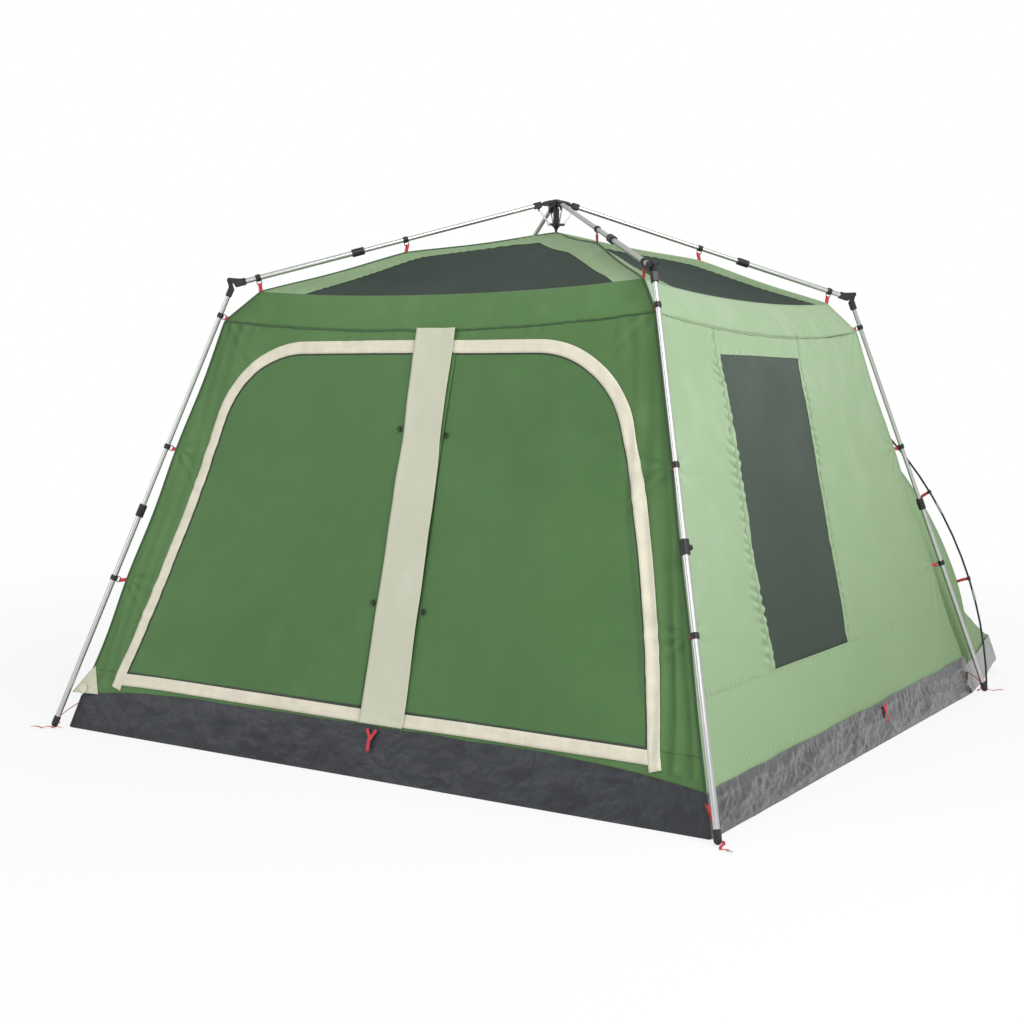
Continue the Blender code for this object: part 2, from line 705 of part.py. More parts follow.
def build_body():
    place("floor_tub", floor_tub_mesh(), tub_fabric, None)
    place("roof_canopy", roof_mesh(), sage_fabric, None)
    slanted = math.cos(wall_lean)
    foot = band_height / slanted + seam_gap
    top = wall_slant - seam_gap
    feet = {"rear": tab_thickness / slanted + fabric_thickness * math.tan(wall_lean) + seam_gap / 2}
    trims = {"front": wall_side_trim, "rear": wall_side_trim}
    holes = {"front": [door_outline(-1), door_outline(1)], "left": [], "right": []}
    holes["rear"] = [[opening_point(math.pi * i / opening_steps) for i in range(opening_steps + 1)]]
    walls = {}
    for side, yaw in wall_yaws.items():
        turn = math.radians(yaw)
        base = Vector((math.sin(turn), -math.cos(turn), 0)) * floor_half
        walls[side] = empty(f"wall_plane_{side}", None, base, (math.pi / 2 - wall_lean, 0, turn))
        outline = wall_outline(feet.get(side, foot), top, trims.get(side, 0.0))
        plate = joined(wall_plate([outline] + holes[side]))
        place(f"wall_{side}", plate, green_fabric if side == "front" else sage_fabric, walls[side])
    for name, side in (("door_left", -1), ("door_right", 1)):
        place(name, joined(wall_plate([door_outline(side, zip_gap)])), green_fabric, walls["front"])
    place("rear_bay", bay_mesh(), sage_fabric, None)
    place("rear_arch_pole", arch_pole_mesh(), black_rod, None)


build_frame()
build_body()
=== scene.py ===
import json
import math

import bmesh
import bpy
import numpy as np
from mathutils import Matrix, Vector


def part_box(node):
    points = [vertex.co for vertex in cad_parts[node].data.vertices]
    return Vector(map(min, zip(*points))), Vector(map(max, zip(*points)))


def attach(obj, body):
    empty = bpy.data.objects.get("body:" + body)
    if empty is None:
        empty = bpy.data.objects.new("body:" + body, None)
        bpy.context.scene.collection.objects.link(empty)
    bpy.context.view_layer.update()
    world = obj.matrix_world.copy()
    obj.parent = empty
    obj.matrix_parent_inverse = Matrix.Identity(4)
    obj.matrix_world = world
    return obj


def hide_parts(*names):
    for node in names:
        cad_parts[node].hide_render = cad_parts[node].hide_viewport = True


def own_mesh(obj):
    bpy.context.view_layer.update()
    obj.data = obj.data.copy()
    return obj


# Pop-up cabin tent: the frame's tubes and fittings come from the CAD, the cloth is made here.
# Metres, +Z up, +Y to the rear. A wall is worked out as the front one and then turned to its side.

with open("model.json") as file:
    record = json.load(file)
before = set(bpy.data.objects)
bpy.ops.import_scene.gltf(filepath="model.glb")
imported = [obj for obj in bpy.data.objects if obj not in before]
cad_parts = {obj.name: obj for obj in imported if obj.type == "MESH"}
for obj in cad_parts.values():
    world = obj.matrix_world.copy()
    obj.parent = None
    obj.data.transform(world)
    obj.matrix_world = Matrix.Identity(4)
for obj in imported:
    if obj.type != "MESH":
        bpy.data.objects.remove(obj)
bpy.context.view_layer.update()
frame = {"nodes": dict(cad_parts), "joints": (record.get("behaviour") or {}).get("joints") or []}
nodes = frame["nodes"]
jointNamed = {joint["name"]: joint for joint in frame["joints"]}
print("frame loaded with", len(nodes), "nodes")

tau = 2 * math.pi
wallYaw = {"front": 0.0, "right": 90.0, "rear": 180.0, "left": 270.0}
cornerSigns = {"front_right": (1, -1), "rear_right": (1, 1), "rear_left": (-1, 1), "front_left": (-1, -1)}
fabric = {"cloth": 0.0007, "net": 0.0006, "netInset": -0.0012, "tuck": 0.006}   # thicknesses and offsets

# What the cloth is hung between, read from the frame
wallLow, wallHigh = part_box("wall_right")
roofLow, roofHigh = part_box("roof_canopy")
archLow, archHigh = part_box("rear_arch_pole")
seamHalf, seamHeight, apexHeight = roofHigh.x, roofLow.z, roofHigh.z
lean = (wallHigh.y - seamHalf) / (seamHeight - wallLow.z)        # how far a wall leans in for each metre up
groundHalf = wallHigh.y + lean * wallLow.z
upright = math.hypot(1.0, lean)                                   # cloth for each metre up a wall
outward = np.array([0.0, -1.0, lean]) / upright                   # the front wall's normal

body = {
    "upperHalf": 0.843, "upperHeight": 1.703,                    # the upper eave seam's corners
    "kneeHalf": 0.438, "kneeHeight": roofLow.z + 0.280,          # where the inner clips lift the ridges
    "lowerSag": 0.050, "upperSag": 0.032,                        # how far the seams droop at mid side
    "scallop": 0.0045,                                           # a corner edge pulls in between clips
    "seamDrop": 0.003,                                           # the lower eave seam lies below the roof
    "clipHeights": (0.13, 0.585, 1.096, 1.607),
    "bandTop": 0.132,                                            # where the corner seams start
}
tub = {"frontTop": (0.130, 0.176), "sideTop": (0.130, 0.158), "frontDepth": 0.0040, "sideDepth": 0.0105}


class Wire:
    # A socket in arithmetic: a + b, a - b and a * b each add one Math node, also with a plain number first.
    def __init__(self, finish, socket):
        self.finish, self.socket = finish, socket

    def maths(self, operation, *terms):
        return self.finish.node("Math", {"operation": operation}, dict(enumerate(terms)))

    def __add__(self, other):
        return self.maths("ADD", self, other)

    def __sub__(self, other):
        return self.maths("SUBTRACT", self, other)

    def __rsub__(self, other):
        return self.maths("SUBTRACT", other, self)

    def __mul__(self, other):
        return self.maths("MULTIPLY", self, other)

    __radd__, __rmul__ = __add__, __mul__

    def sine(self):
        return self.maths("SINE", self)


class Finish:
    # One material. node() adds any node: its settings go first, then each socket's value or link.
    def __init__(self, name, colour, roughness, metallic=0.0, fixed=None):
        self.material = bpy.data.materials.new(name)
        self.material.use_nodes = True
        self.tree = self.material.node_tree
        self.shader = self.tree.nodes["Principled BSDF"]
        self.plug(self.shader, {"Base Color": (*colour, 1.0), "Roughness": roughness, "Metallic": metallic})
        self.plug(self.shader, fixed or {})

    def plug(self, node, sockets):
        for key, value in sockets.items():
            if isinstance(value, Wire):
                self.tree.links.new(value.socket, node.inputs[key])
            else:
                node.inputs[key].default_value = value

    def node(self, kind, settings=None, sockets=None, output=0):
        made = self.tree.nodes.new("ShaderNode" + kind)
        for key, value in (settings or {}).items():
            setattr(made, key, value)
        self.plug(made, sockets or {})
        return Wire(self, made.outputs[output])

    def split(self, where):
        # The x, y and z of a vector
        first = self.node("SeparateXYZ", None, {0: where})
        return [first] + [Wire(self, first.socket.node.outputs[k]) for k in (1, 2)]

    def clothMetres(self):
        # The cloth's own coordinates, u across and v along, in metres
        return self.split(self.node("UVMap", {"uv_map": "cloth"}))[:2]

    def hollow(self):
        # Above 0 in a valley of the cloth and below 0 on a ridge
        return self.node("Attribute", {"attribute_name": "hollow"}, output=2)

    def place(self):
        # Object coordinates, in metres
        return self.node("TexCoord", output=3)

    def noise(self, where, scale, detail=2.0, roughness=0.5):
        return self.node("TexNoise", None, {"Vector": where, "Scale": scale, "Detail": detail,
                                            "Roughness": roughness})

    def blend(self, share, first, second):
        # colour = first (1 - share) + second share
        colours = [c if isinstance(c, Wire) else (*c, 1.0) for c in (first, second)]
        return self.node("Mix", {"data_type": "RGBA"}, {0: share, 6: colours[0], 7: colours[1]}, output=2)

    def between(self, value, low, high):
        # 0 below low, 1 above high, straight between them
        return self.node("MapRange", {"clamp": True}, {"Value": value, "From Min": low, "From Max": high})

    def relief(self, height, distance):
        # The normal leans with the slope of height times distance
        bump = self.node("Bump", None, {"Height": height, "Distance": distance, "Strength": 1.0})
        self.plug(self.shader, {"Normal": bump})


def tint(colour, factor):
    # Each channel times the factor, at most 1
    return tuple(min(1.0, c * factor) for c in colour)


def wovenCloth(name, colour, shade, glow, roughness, paintedGroundShade=None, sheen=0.0, wrinkle=0.0016):
    # Weave: sin(2 pi u / thread) sin(2 pi v / thread) on the cloth's own metres. The colour drifts between
    # three tones at random. Painted shade darkens it toward the ground and the rear and in the hollows of
    # folds, and a painted highlight lightens the ridges of folds.
    thread = 0.0009
    cloth = Finish(name, colour, roughness, fixed={"Sheen Weight": sheen, "Sheen Roughness": 0.45,
                                                   "Specular IOR Level": 0.35})
    u, v = cloth.clothMetres()
    weave = (u * (tau / thread)).sine() * (v * (tau / thread)).sine()
    place = cloth.place()
    broad = cloth.noise(place, 1.3, 3.0, 0.55)
    patch = cloth.noise(place, 6.5, 3.0, 0.6)
    fine = cloth.noise(place, 34.0, 3.0, 0.65)
    tone = cloth.blend(cloth.between(broad, 0.36, 0.66), shade, colour)
    tone = cloth.blend(cloth.between(patch, 0.48, 0.82) * 0.55, tone, glow)
    # Painted shade: the colour darkens toward the ground and the rear, where less light falls
    if paintedGroundShade:
        _, depth, height = cloth.split(place)
        low = height * -0.62 + depth * 0.16 + broad * 0.5 + 0.62
        tone = cloth.blend(cloth.between(low, 0.0, 1.0), tone, paintedGroundShade)
    hollow = cloth.hollow()
    # Painted shade in the hollows of folds and a painted highlight on their ridges
    tone = cloth.blend(cloth.between(hollow, 0.01, 0.10) * 0.42, tone, tint(shade, 0.55))
    tone = cloth.blend(cloth.between(hollow * -1.0, 0.01, 0.12) * 0.30, tone, tint(glow, 1.12))
    tone = cloth.blend(weave * 0.05 + 0.05, tone, tint(shade, 0.7))
    cloth.plug(cloth.shader, {"Base Color": tone, "Roughness": fine * 0.16 + (roughness - 0.08)})
    cloth.relief(patch * 1.3 + fine * 0.45 + weave * 0.035, wrinkle)
    return cloth.material


def coatedCloth(name, colour, roughness, sharp, gloss):
    # Crinkled coated cloth: sharp creases where a noise passes one half, big and small, over a soft grain.
    # Its colour holds painted glints on the grain, painted shade in the hollows and a painted reflection on
    # the ridges.
    coated = Finish(name, colour, roughness, fixed={"Coat Weight": gloss, "Coat Roughness": 0.22,
                                                    "Specular IOR Level": 0.3 + gloss})
    place = coated.place()
    warp = coated.node("TexNoise", None, {"Vector": place, "Scale": 5.0, "Detail": 2.0}, output=1)
    bent = coated.node("Mix", {"data_type": "VECTOR"}, {0: 0.22, 4: place, 5: warp}, output=1)
    big = coated.noise(bent, 9.0, 2.0, 0.5) - 0.5
    big = big.maths("ABSOLUTE", big)
    small = coated.noise(bent, 26.0, 2.0, 0.55) - 0.5
    small = small.maths("ABSOLUTE", small)
    grain = coated.noise(place, 90.0, 2.0, 0.6)
    hollow = coated.hollow()
    tone = coated.blend(coated.between(big, 0.0, 0.16), tint(colour, 1.35), tint(colour, 0.85))
    # Painted glints where the grain is high
    tone = coated.blend(coated.between(grain, 0.5, 0.75) * 0.25, tone, tint(colour, 1.8))
    # Painted shade in the hollows of the crinkles
    tone = coated.blend(coated.between(hollow, 0.01, 0.12) * 0.85, tone, tint(colour, 0.22))
    # Painted reflection on the ridges, stronger for a glossier coat
    tone = coated.blend(coated.between(hollow * -1.0, 0.01, 0.14) * gloss, tone, tint(colour, 7.0))
    coated.plug(coated.shader, {"Base Color": tone,
                                "Roughness": coated.between(small, 0.0, 0.3) * 0.14 + (roughness - 0.07)})
    coated.relief(big * 3.0 + small * 1.2 + grain * 0.05, sharp)
    return coated.material


def meshCloth(name, colour, pale, low):
    # Fine mesh: threads where sin(2 pi u / hole) or sin(2 pi v / hole) is large; painted shade turns its
    # colour to low toward the ground
    hole = 0.0022
    net = Finish(name, colour, 0.75, fixed={"Specular IOR Level": 0.2})
    u, v = net.clothMetres()
    threadU, threadV = (u * (tau / hole)).sine(), (v * (tau / hole)).sine()
    lines = threadU.maths("MAXIMUM", threadU, threadV)
    place = net.place()
    cloudy = net.noise(place, 2.6, 3.0, 0.6)
    streak = net.noise(place, 14.0, 3.0, 0.6)
    tone = net.blend(net.between(cloudy, 0.3, 0.7), colour, pale)
    tone = net.blend(net.between(streak, 0.45, 0.8) * 0.3, tone, tint(pale, 1.25))
    height = net.split(place)[2]
    # Painted shade: darker toward the ground
    tone = net.blend(net.between(height * -1.0, -1.5, -0.4), tone, low)
    net.plug(net.shader, {"Base Color": net.blend(lines * 0.2 + 0.2, tone, tint(colour, 0.55))})
    net.relief(lines * 0.1 + streak * 0.6, 0.0014)
    return net.material


def webbing(name, colour, rib=0.0016, roughness=0.62):
    # Flat webbing: ribs across its length, a sine of v, which runs along it, and a finer sine of u
    tape = Finish(name, colour, roughness, fixed={"Sheen Weight": 0.15})
    u, v = tape.clothMetres()
    ribs = (v * (tau / rib)).sine() * 0.6 + (u * (tau / (rib * 1.5))).sine() * 0.4
    stain = tape.noise(tape.place(), 18.0, 3.0, 0.6)
    tone = tape.blend(tape.between(stain, 0.35, 0.75), colour, tint(colour, 0.84))
    tape.plug(tape.shader, {"Base Color": tape.blend(ribs * 0.08 + 0.08, tone, tint(colour, 0.6)),
                            "Roughness": stain * 0.2 + (roughness - 0.1)})
    tape.relief(ribs * 0.25 + stain * 0.6, 0.0007)
    return tape.material


def drawnMetal(name, colour, roughness, scale=(9.0, 9.0, 160.0), spread=0.06):
    # Drawn or brushed metal: a noise stretched by 1 / scale, with scuffs where a second noise is high
    metal = Finish(name, colour, roughness, 1.0)
    place = metal.place()
    stretched = metal.node("VectorMath", {"operation": "MULTIPLY"}, {0: place, 1: scale})
    drawn = metal.noise(stretched, 1.0, 3.0, 0.6)
    scuff = metal.noise(place, 42.0, 4.0, 0.7)
    worn = metal.between(scuff, 0.58, 0.74)
    metal.plug(metal.shader, {"Base Color": metal.blend(worn * 0.5, colour, tint(colour, 0.82)),
                              "Roughness": drawn * spread + worn * 0.12 + (roughness - spread / 2)})
    metal.relief(drawn * 0.5 + scuff * 0.5, 0.00012)
    return metal.material


def mouldedPlastic(name, colour, roughness):
    # Moulded black plastic: a fine grain, paler where a broad noise is high, as if rubbed
    plastic = Finish(name, colour, roughness, fixed={"Specular IOR Level": 0.45})
    place = plastic.place()
    grain = plastic.noise(place, 620.0, 2.0, 0.6)
    rub = plastic.between(plastic.noise(place, 38.0, 4.0, 0.7), 0.55, 0.78)
    plastic.plug(plastic.shader, {"Base Color": plastic.blend(rub * 0.55, colour, tint(colour, 2.6)),
                                  "Roughness": rub * 0.14 + (roughness - 0.05)})
    plastic.relief(grain * 0.5, 0.00022)
    return plastic.material


greenCloth = wovenCloth("green_cloth", (0.090, 0.200, 0.062), (0.074, 0.170, 0.050), (0.125, 0.250, 0.086),
                        0.55, sheen=0.05)
doorCloth = wovenCloth("door_cloth", (0.078, 0.180, 0.056), (0.068, 0.160, 0.050), (0.095, 0.205, 0.072),
                       0.55, sheen=0.05)
# Paler copies of the front's green for the sides, rear and roof: painted light and painted sheen where light
# falls; the walls' copy also gets painted shade toward the ground and the rear
paintedLightGreenCloth = wovenCloth("painted_light_green_cloth", (0.400, 0.545, 0.345), (0.350, 0.500, 0.290), (0.465, 0.600, 0.420),
                       0.58, paintedGroundShade=(0.200, 0.325, 0.145), sheen=0.08)
# The roof's paler green is painted light as well
paintedLightRoofFinish = wovenCloth("roof_cloth", (0.270, 0.390, 0.215), (0.215, 0.335, 0.165), (0.340, 0.465, 0.290),
                        0.58, sheen=0.08)
greyCloth = wovenCloth("grey_cloth", (0.43, 0.44, 0.42), (0.36, 0.37, 0.36), (0.52, 0.53, 0.51), 0.5)
# One tub cloth in two copies: painted shade makes the front's darker and painted light makes the sides'
# paler; the sides' copy is also glossier
shadedTubCloth = coatedCloth("shaded_tub_cloth", (0.027, 0.030, 0.035), 0.42, 0.004, 0.06)
litTubSideCloth = coatedCloth("lit_tub_side_cloth", (0.046, 0.048, 0.052), 0.24, 0.0035, 0.45)
roofNet = meshCloth("roof_net", (0.038, 0.056, 0.045), (0.052, 0.072, 0.060), (0.038, 0.056, 0.045))
# The window net's last colour is its painted shade toward the ground
windowNet = meshCloth("window_net", (0.085, 0.115, 0.094), (0.122, 0.152, 0.132), (0.048, 0.068, 0.051))
creamTape = webbing("cream_tape", (0.800, 0.760, 0.610), rib=0.0022)
creamFlap = wovenCloth("cream_flap", (0.600, 0.610, 0.480), (0.555, 0.565, 0.435), (0.655, 0.660, 0.550), 0.6)
redWebbing = webbing("red_webbing", (0.640, 0.034, 0.048))
darkGreenTape = webbing("dark_green_tape", (0.040, 0.100, 0.036), rib=0.0018)
# Seam tape on the paler walls, painted paler with them as painted light
paintedLightGreenTape = webbing("painted_light_green_tape", (0.330, 0.460, 0.270), rib=0.0018)
# Dark zip, which also stands in for the painted shadow under the door tape's inner edge
zipAndShadowCloth = webbing("zip_and_shadow_cloth", (0.030, 0.050, 0.030), rib=0.0012)
tubeMetal = drawnMetal("aluminium", (0.66, 0.67, 0.66), 0.30)
strutMetal = drawnMetal("strut_metal", (0.62, 0.63, 0.62), 0.36)
steel = drawnMetal("steel", (0.50, 0.50, 0.50), 0.30, (60.0, 60.0, 60.0))
blackPlastic = mouldedPlastic("black_plastic", (0.020, 0.020, 0.022), 0.46)
blackRod = mouldedPlastic("black_rod", (0.022, 0.022, 0.023), 0.36)
print("finishes made:", len(bpy.data.materials))


def valueNoise(u, v, seed):
    # Values on whole numbers, joined with t t (3 - 2 t); from -1 to 1
    table = np.random.default_rng(seed).uniform(-1.0, 1.0, (64, 64))
    column, row = np.floor(u).astype(int), np.floor(v).astype(int)
    fu, fv = u - column, v - row
    su, sv = fu * fu * (3 - 2 * fu), fv * fv * (3 - 2 * fv)
    near = table[column % 64, row % 64] * (1 - su) + table[(column + 1) % 64, row % 64] * su
    far = table[column % 64, (row + 1) % 64] * (1 - su) + table[(column + 1) % 64, (row + 1) % 64] * su
    return near * (1 - sv) + far * sv


def crease(u, v, seed):
    # Sharp ridges where the noise passes zero: 1 - 2 |n|, over two sizes
    return (0.65 * (1 - 2 * np.abs(valueNoise(u, v, seed)))
            + 0.35 * (1 - 2 * np.abs(valueNoise(u * 2.3 + 7, v * 2.3 + 3, seed + 1))))


def step(value, low, high):
    # 0 to 1 between low and high, t t (3 - 2 t)
    t = np.clip((value - low) / (high - low), 0, 1)
    return t * t * (3 - 2 * t)


def pucker(along, away, pitch, reach, seed):
    # Gathers at a seam: cos(2 pi along / pitch + wander) exp(-(away / reach)^2), stronger in places
    wander = 2.4 * valueNoise(along / (pitch * 2.2), away / (reach * 3), seed)
    strength = 0.55 + 0.45 * valueNoise(along / (pitch * 5), along * 0, seed + 2)
    ragged = reach * (0.75 + 0.55 * valueNoise(along / (pitch * 1.3), along * 0 + 4, seed + 3))
    return strength * np.cos(tau * along / pitch + wander) * np.exp(-(away / ragged) ** 2)


def seedFor(side, start):
    # Each side has its own run of seeds: start + 20 for each side before it
    return start + 20 * list(wallYaw).index(side)


def turned(points, side):
    # A point of the front wall carried to another side by that wall's yaw
    yaw = math.radians(wallYaw[side])
    c, s = math.cos(yaw), math.sin(yaw)
    x, y = points[..., 0], points[..., 1]
    return np.stack([c * x - s * y, s * x + c * y, points[..., 2]], -1)


def halfAt(height):
    # A wall's distance from the middle at a height: groundHalf - lean height
    return groundHalf - lean * height


def scallopAt(height):
    # Zero at each clip and deepest between: scallop sin^2(pi phase)
    phase = np.interp(height, body["clipHeights"], range(len(body["clipHeights"])))
    return body["scallop"] * np.sin(math.pi * phase) ** 2


def cornerHalf(height):
    # The same at a corner edge, which is drawn in between its clips
    return halfAt(height) - scallopAt(height)


def seamAt(s):
    # Height of the lower eave seam: its corner height less sag (1 - s^2)
    return seamHeight - body["seamDrop"] - body["lowerSag"] * (1 - s * s)


def bandTop(side, x):
    # Height of the tub's upper edge. Front: highest at mid side. Sides: rising to the rear.
    s = np.clip(x / groundHalf, -1, 1)
    if side == "front":
        low, high = tub["frontTop"]
        return low + (high - low) * (1 - np.abs(s) ** 5) + 0.003 * valueNoise(s * 9, s * 0, 140)
    if side == "rear":
        return 0.125 + 0 * s
    low, high = tub["sideTop"]
    toRear = s if side == "right" else -s
    return low + (high - low) * (toRear * 0.5 + 0.5) + 0.004 * valueNoise(s * 11, s * 0, 141)


def addCloth(name, patches, finish, thickness=0.0, merge=0.0003):
    # Joins grids into one mesh. A patch is (points, cloth coordinates in metres, kept cells or None).
    points, flats, quads, first = [], [], [], 0
    for place, flat, kept in patches:
        rows, columns = place.shape[:2]
        index = first + np.arange(rows * columns).reshape(rows, columns)
        cells = np.stack([index[:-1, :-1], index[:-1, 1:], index[1:, 1:], index[1:, :-1]], -1)
        quads.append(cells[kept] if kept is not None else cells.reshape(-1, 4))
        points.append(place.reshape(-1, 3))
        flats.append(flat.reshape(-1, 2))
        first += rows * columns
    points, flats, quads = np.concatenate(points), np.concatenate(flats), np.concatenate(quads)
    used, faces = np.unique(quads, return_inverse=True)
    faces = faces.reshape(-1, 4).tolist()
    return finishMesh(name, points[used], faces, flats[used], finish, thickness, merge)


def markHollows(mesh):
    # hollow = (mean neighbour - point) . normal / mean edge length, evened out twice: above 0 in a valley
    count = len(mesh.vertices)
    place, normal = np.zeros(count * 3), np.zeros(count * 3)
    ends = np.zeros(len(mesh.edges) * 2, np.int32)
    mesh.vertices.foreach_get("co", place)
    mesh.vertices.foreach_get("normal", normal)
    mesh.edges.foreach_get("vertices", ends)
    place, normal, ends = place.reshape(-1, 3), normal.reshape(-1, 3), ends.reshape(-1, 2)
    here, there = ends.ravel(), ends[:, ::-1].ravel()
    shares = np.maximum(np.bincount(here, minlength=count), 1)
    near = np.stack([np.bincount(here, place[there, k], count) for k in range(3)], -1) / shares[:, None]
    spacing = np.linalg.norm(place[ends[:, 0]] - place[ends[:, 1]], axis=1).mean()
    hollow = ((near - place) * normal).sum(1) / spacing
    for _ in range(2):
        hollow = 0.5 * hollow + 0.5 * np.bincount(here, hollow[there], count) / shares
    mesh.attributes.new("hollow", "FLOAT", "POINT").data.foreach_set("value", hollow.astype(np.float32))


def finishMesh(name, points, faces, flats, finish, thickness=0.0, merge=0.0, sharp=0.0):
    # Points and faces become a smooth mesh with its cloth coordinates. On cloth, points nearer than merge
    # become one and hollows are marked. On a closed form, faces turn outwards and bends over sharp degrees
    # stay sharp.
    mesh = bpy.data.meshes.new(name)
    mesh.from_pydata(points.tolist(), [], faces)
    layer = mesh.uv_layers.new(name="cloth")
    corner = np.zeros(len(mesh.loops), np.int32)
    mesh.loops.foreach_get("vertex_index", corner)
    layer.data.foreach_set("uv", flats[corner].astype(np.float32).ravel())
    mesh.polygons.foreach_set("use_smooth", np.ones(len(mesh.polygons), bool))
    mesh.materials.append(finish)
    if merge or sharp:
        work = bmesh.new()
        work.from_mesh(mesh)
        if merge:
            bmesh.ops.remove_doubles(work, verts=work.verts, dist=merge)
        if sharp:
            bmesh.ops.recalc_face_normals(work, faces=work.faces)
        work.to_mesh(mesh)
        work.free()
    if sharp:
        mesh.set_sharp_from_angle(angle=math.radians(sharp))
    else:
        markHollows(mesh)
    piece = bpy.data.objects.new(name, mesh)
    bpy.context.scene.collection.objects.link(piece)
    if thickness:
        wall = piece.modifiers.new("thickness", "SOLIDIFY")
        wall.thickness, wall.offset = thickness, 0.0
    return piece


def runLengths(points):
    # How far along a line each point lies: 0 and the running sum of the steps
    return np.concatenate([[0], np.cumsum(np.linalg.norm(np.diff(points, axis=0), axis=-1))])


def gridUV(points):
    # Cloth coordinates from run lengths along the grid's middle row and middle column
    rows, columns = points.shape[:2]
    return np.stack(np.meshgrid(runLengths(points[rows // 2]), runLengths(points[:, columns // 2])), -1)


def alongPath(path, steps):
    # The path's points again, evenly spaced along its length
    path = np.asarray(path, float)
    run = runLengths(path)
    at = np.linspace(0, run[-1], steps)
    return np.stack([np.interp(at, run, path[:, k]) for k in range(3)], -1)


def curveThrough(points, steps):
    # Catmull-Rom curve through given points a, b, c, d: from b to c as f runs from 0 to 1
    p = np.asarray(points, float)
    p = np.concatenate([[2 * p[0] - p[1]], p, [2 * p[-1] - p[-2]]])
    t = np.linspace(0, len(p) - 3 - 1e-9, steps)
    i, f = np.floor(t).astype(int), (t - np.floor(t))[:, None]
    a, b, c, d = p[i], p[i + 1], p[i + 2], p[i + 3]
    return 0.5 * (2 * b + (c - a) * f + (2 * a - 5 * b + 4 * c - d) * f ** 2
                  + (3 * b - a - 3 * c + d) * f ** 3)


def frames(path, hint, across=None):
    # Unit tangent, side and upper vector at each point: side = tangent x hint, or the given one all along
    tangent = np.gradient(path, axis=0)
    tangent /= np.linalg.norm(tangent, axis=1, keepdims=True)
    side = np.cross(tangent, np.broadcast_to(hint, tangent.shape))
    if across is not None:
        side = np.broadcast_to(np.asarray(across, float), tangent.shape).copy()
    side /= np.maximum(np.linalg.norm(side, axis=1, keepdims=True), 1e-9)
    return tangent, side, np.cross(side, tangent)


def sweep(name, path, profile, finish, hint=(0.0, 0.0, 1.0), across=None):
    # A profile of (side, up) pairs carried along the path; its ends are closed by one face each
    path, profile = np.asarray(path, float), np.asarray(profile, float)
    _, side, up = frames(path, np.asarray(hint, float), across)
    rings = path[:, None] + side[:, None] * profile[None, :, :1] + up[:, None] * profile[None, :, 1:]
    count, size = len(path), len(profile)
    points = rings.reshape(-1, 3)
    index = np.arange(count * size).reshape(count, size)
    after = np.roll(index, -1, axis=1)
    quads = np.stack([index[:-1], after[:-1], after[1:], index[1:]], -1).reshape(-1, 4)
    flats = np.stack(np.meshgrid(runLengths(profile), runLengths(path)), -1).reshape(-1, 2)
    faces = quads.tolist() + [index[0, ::-1].tolist(), index[-1].tolist()]
    return finishMesh(name, points, faces, flats, finish, sharp=50)


def roundProfile(radius, sides=10):
    # (radius cos turn, radius sin turn)
    turn = np.arange(sides) * tau / sides
    return np.stack([radius * np.cos(turn), radius * np.sin(turn)], -1)


def strapProfile(width, thick):
    # A flat strap's section with its two edges rounded
    w, t = width / 2, thick / 2
    return [(-w, 0), (-w + t, -t), (w - t, -t), (w, 0), (w - t, t), (-w + t, t)]


def joinPieces(name, pieces):
    # The faces of pieces of one finish in one mesh, which the first of them keeps
    work = bmesh.new()
    for piece in pieces:
        work.from_mesh(piece.data)
    joined = bpy.data.meshes.new(name)
    work.to_mesh(joined)
    work.free()
    joined.materials.append(pieces[0].data.materials[0])
    for piece in pieces[1:]:
        bpy.data.objects.remove(piece)
    pieces[0].data, pieces[0].name = joined, name
    return pieces[0]


def onBody(piece, owner, folds=False):
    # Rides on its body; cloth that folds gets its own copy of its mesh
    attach(piece, owner)
    if folds:
        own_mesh(piece)
    return piece


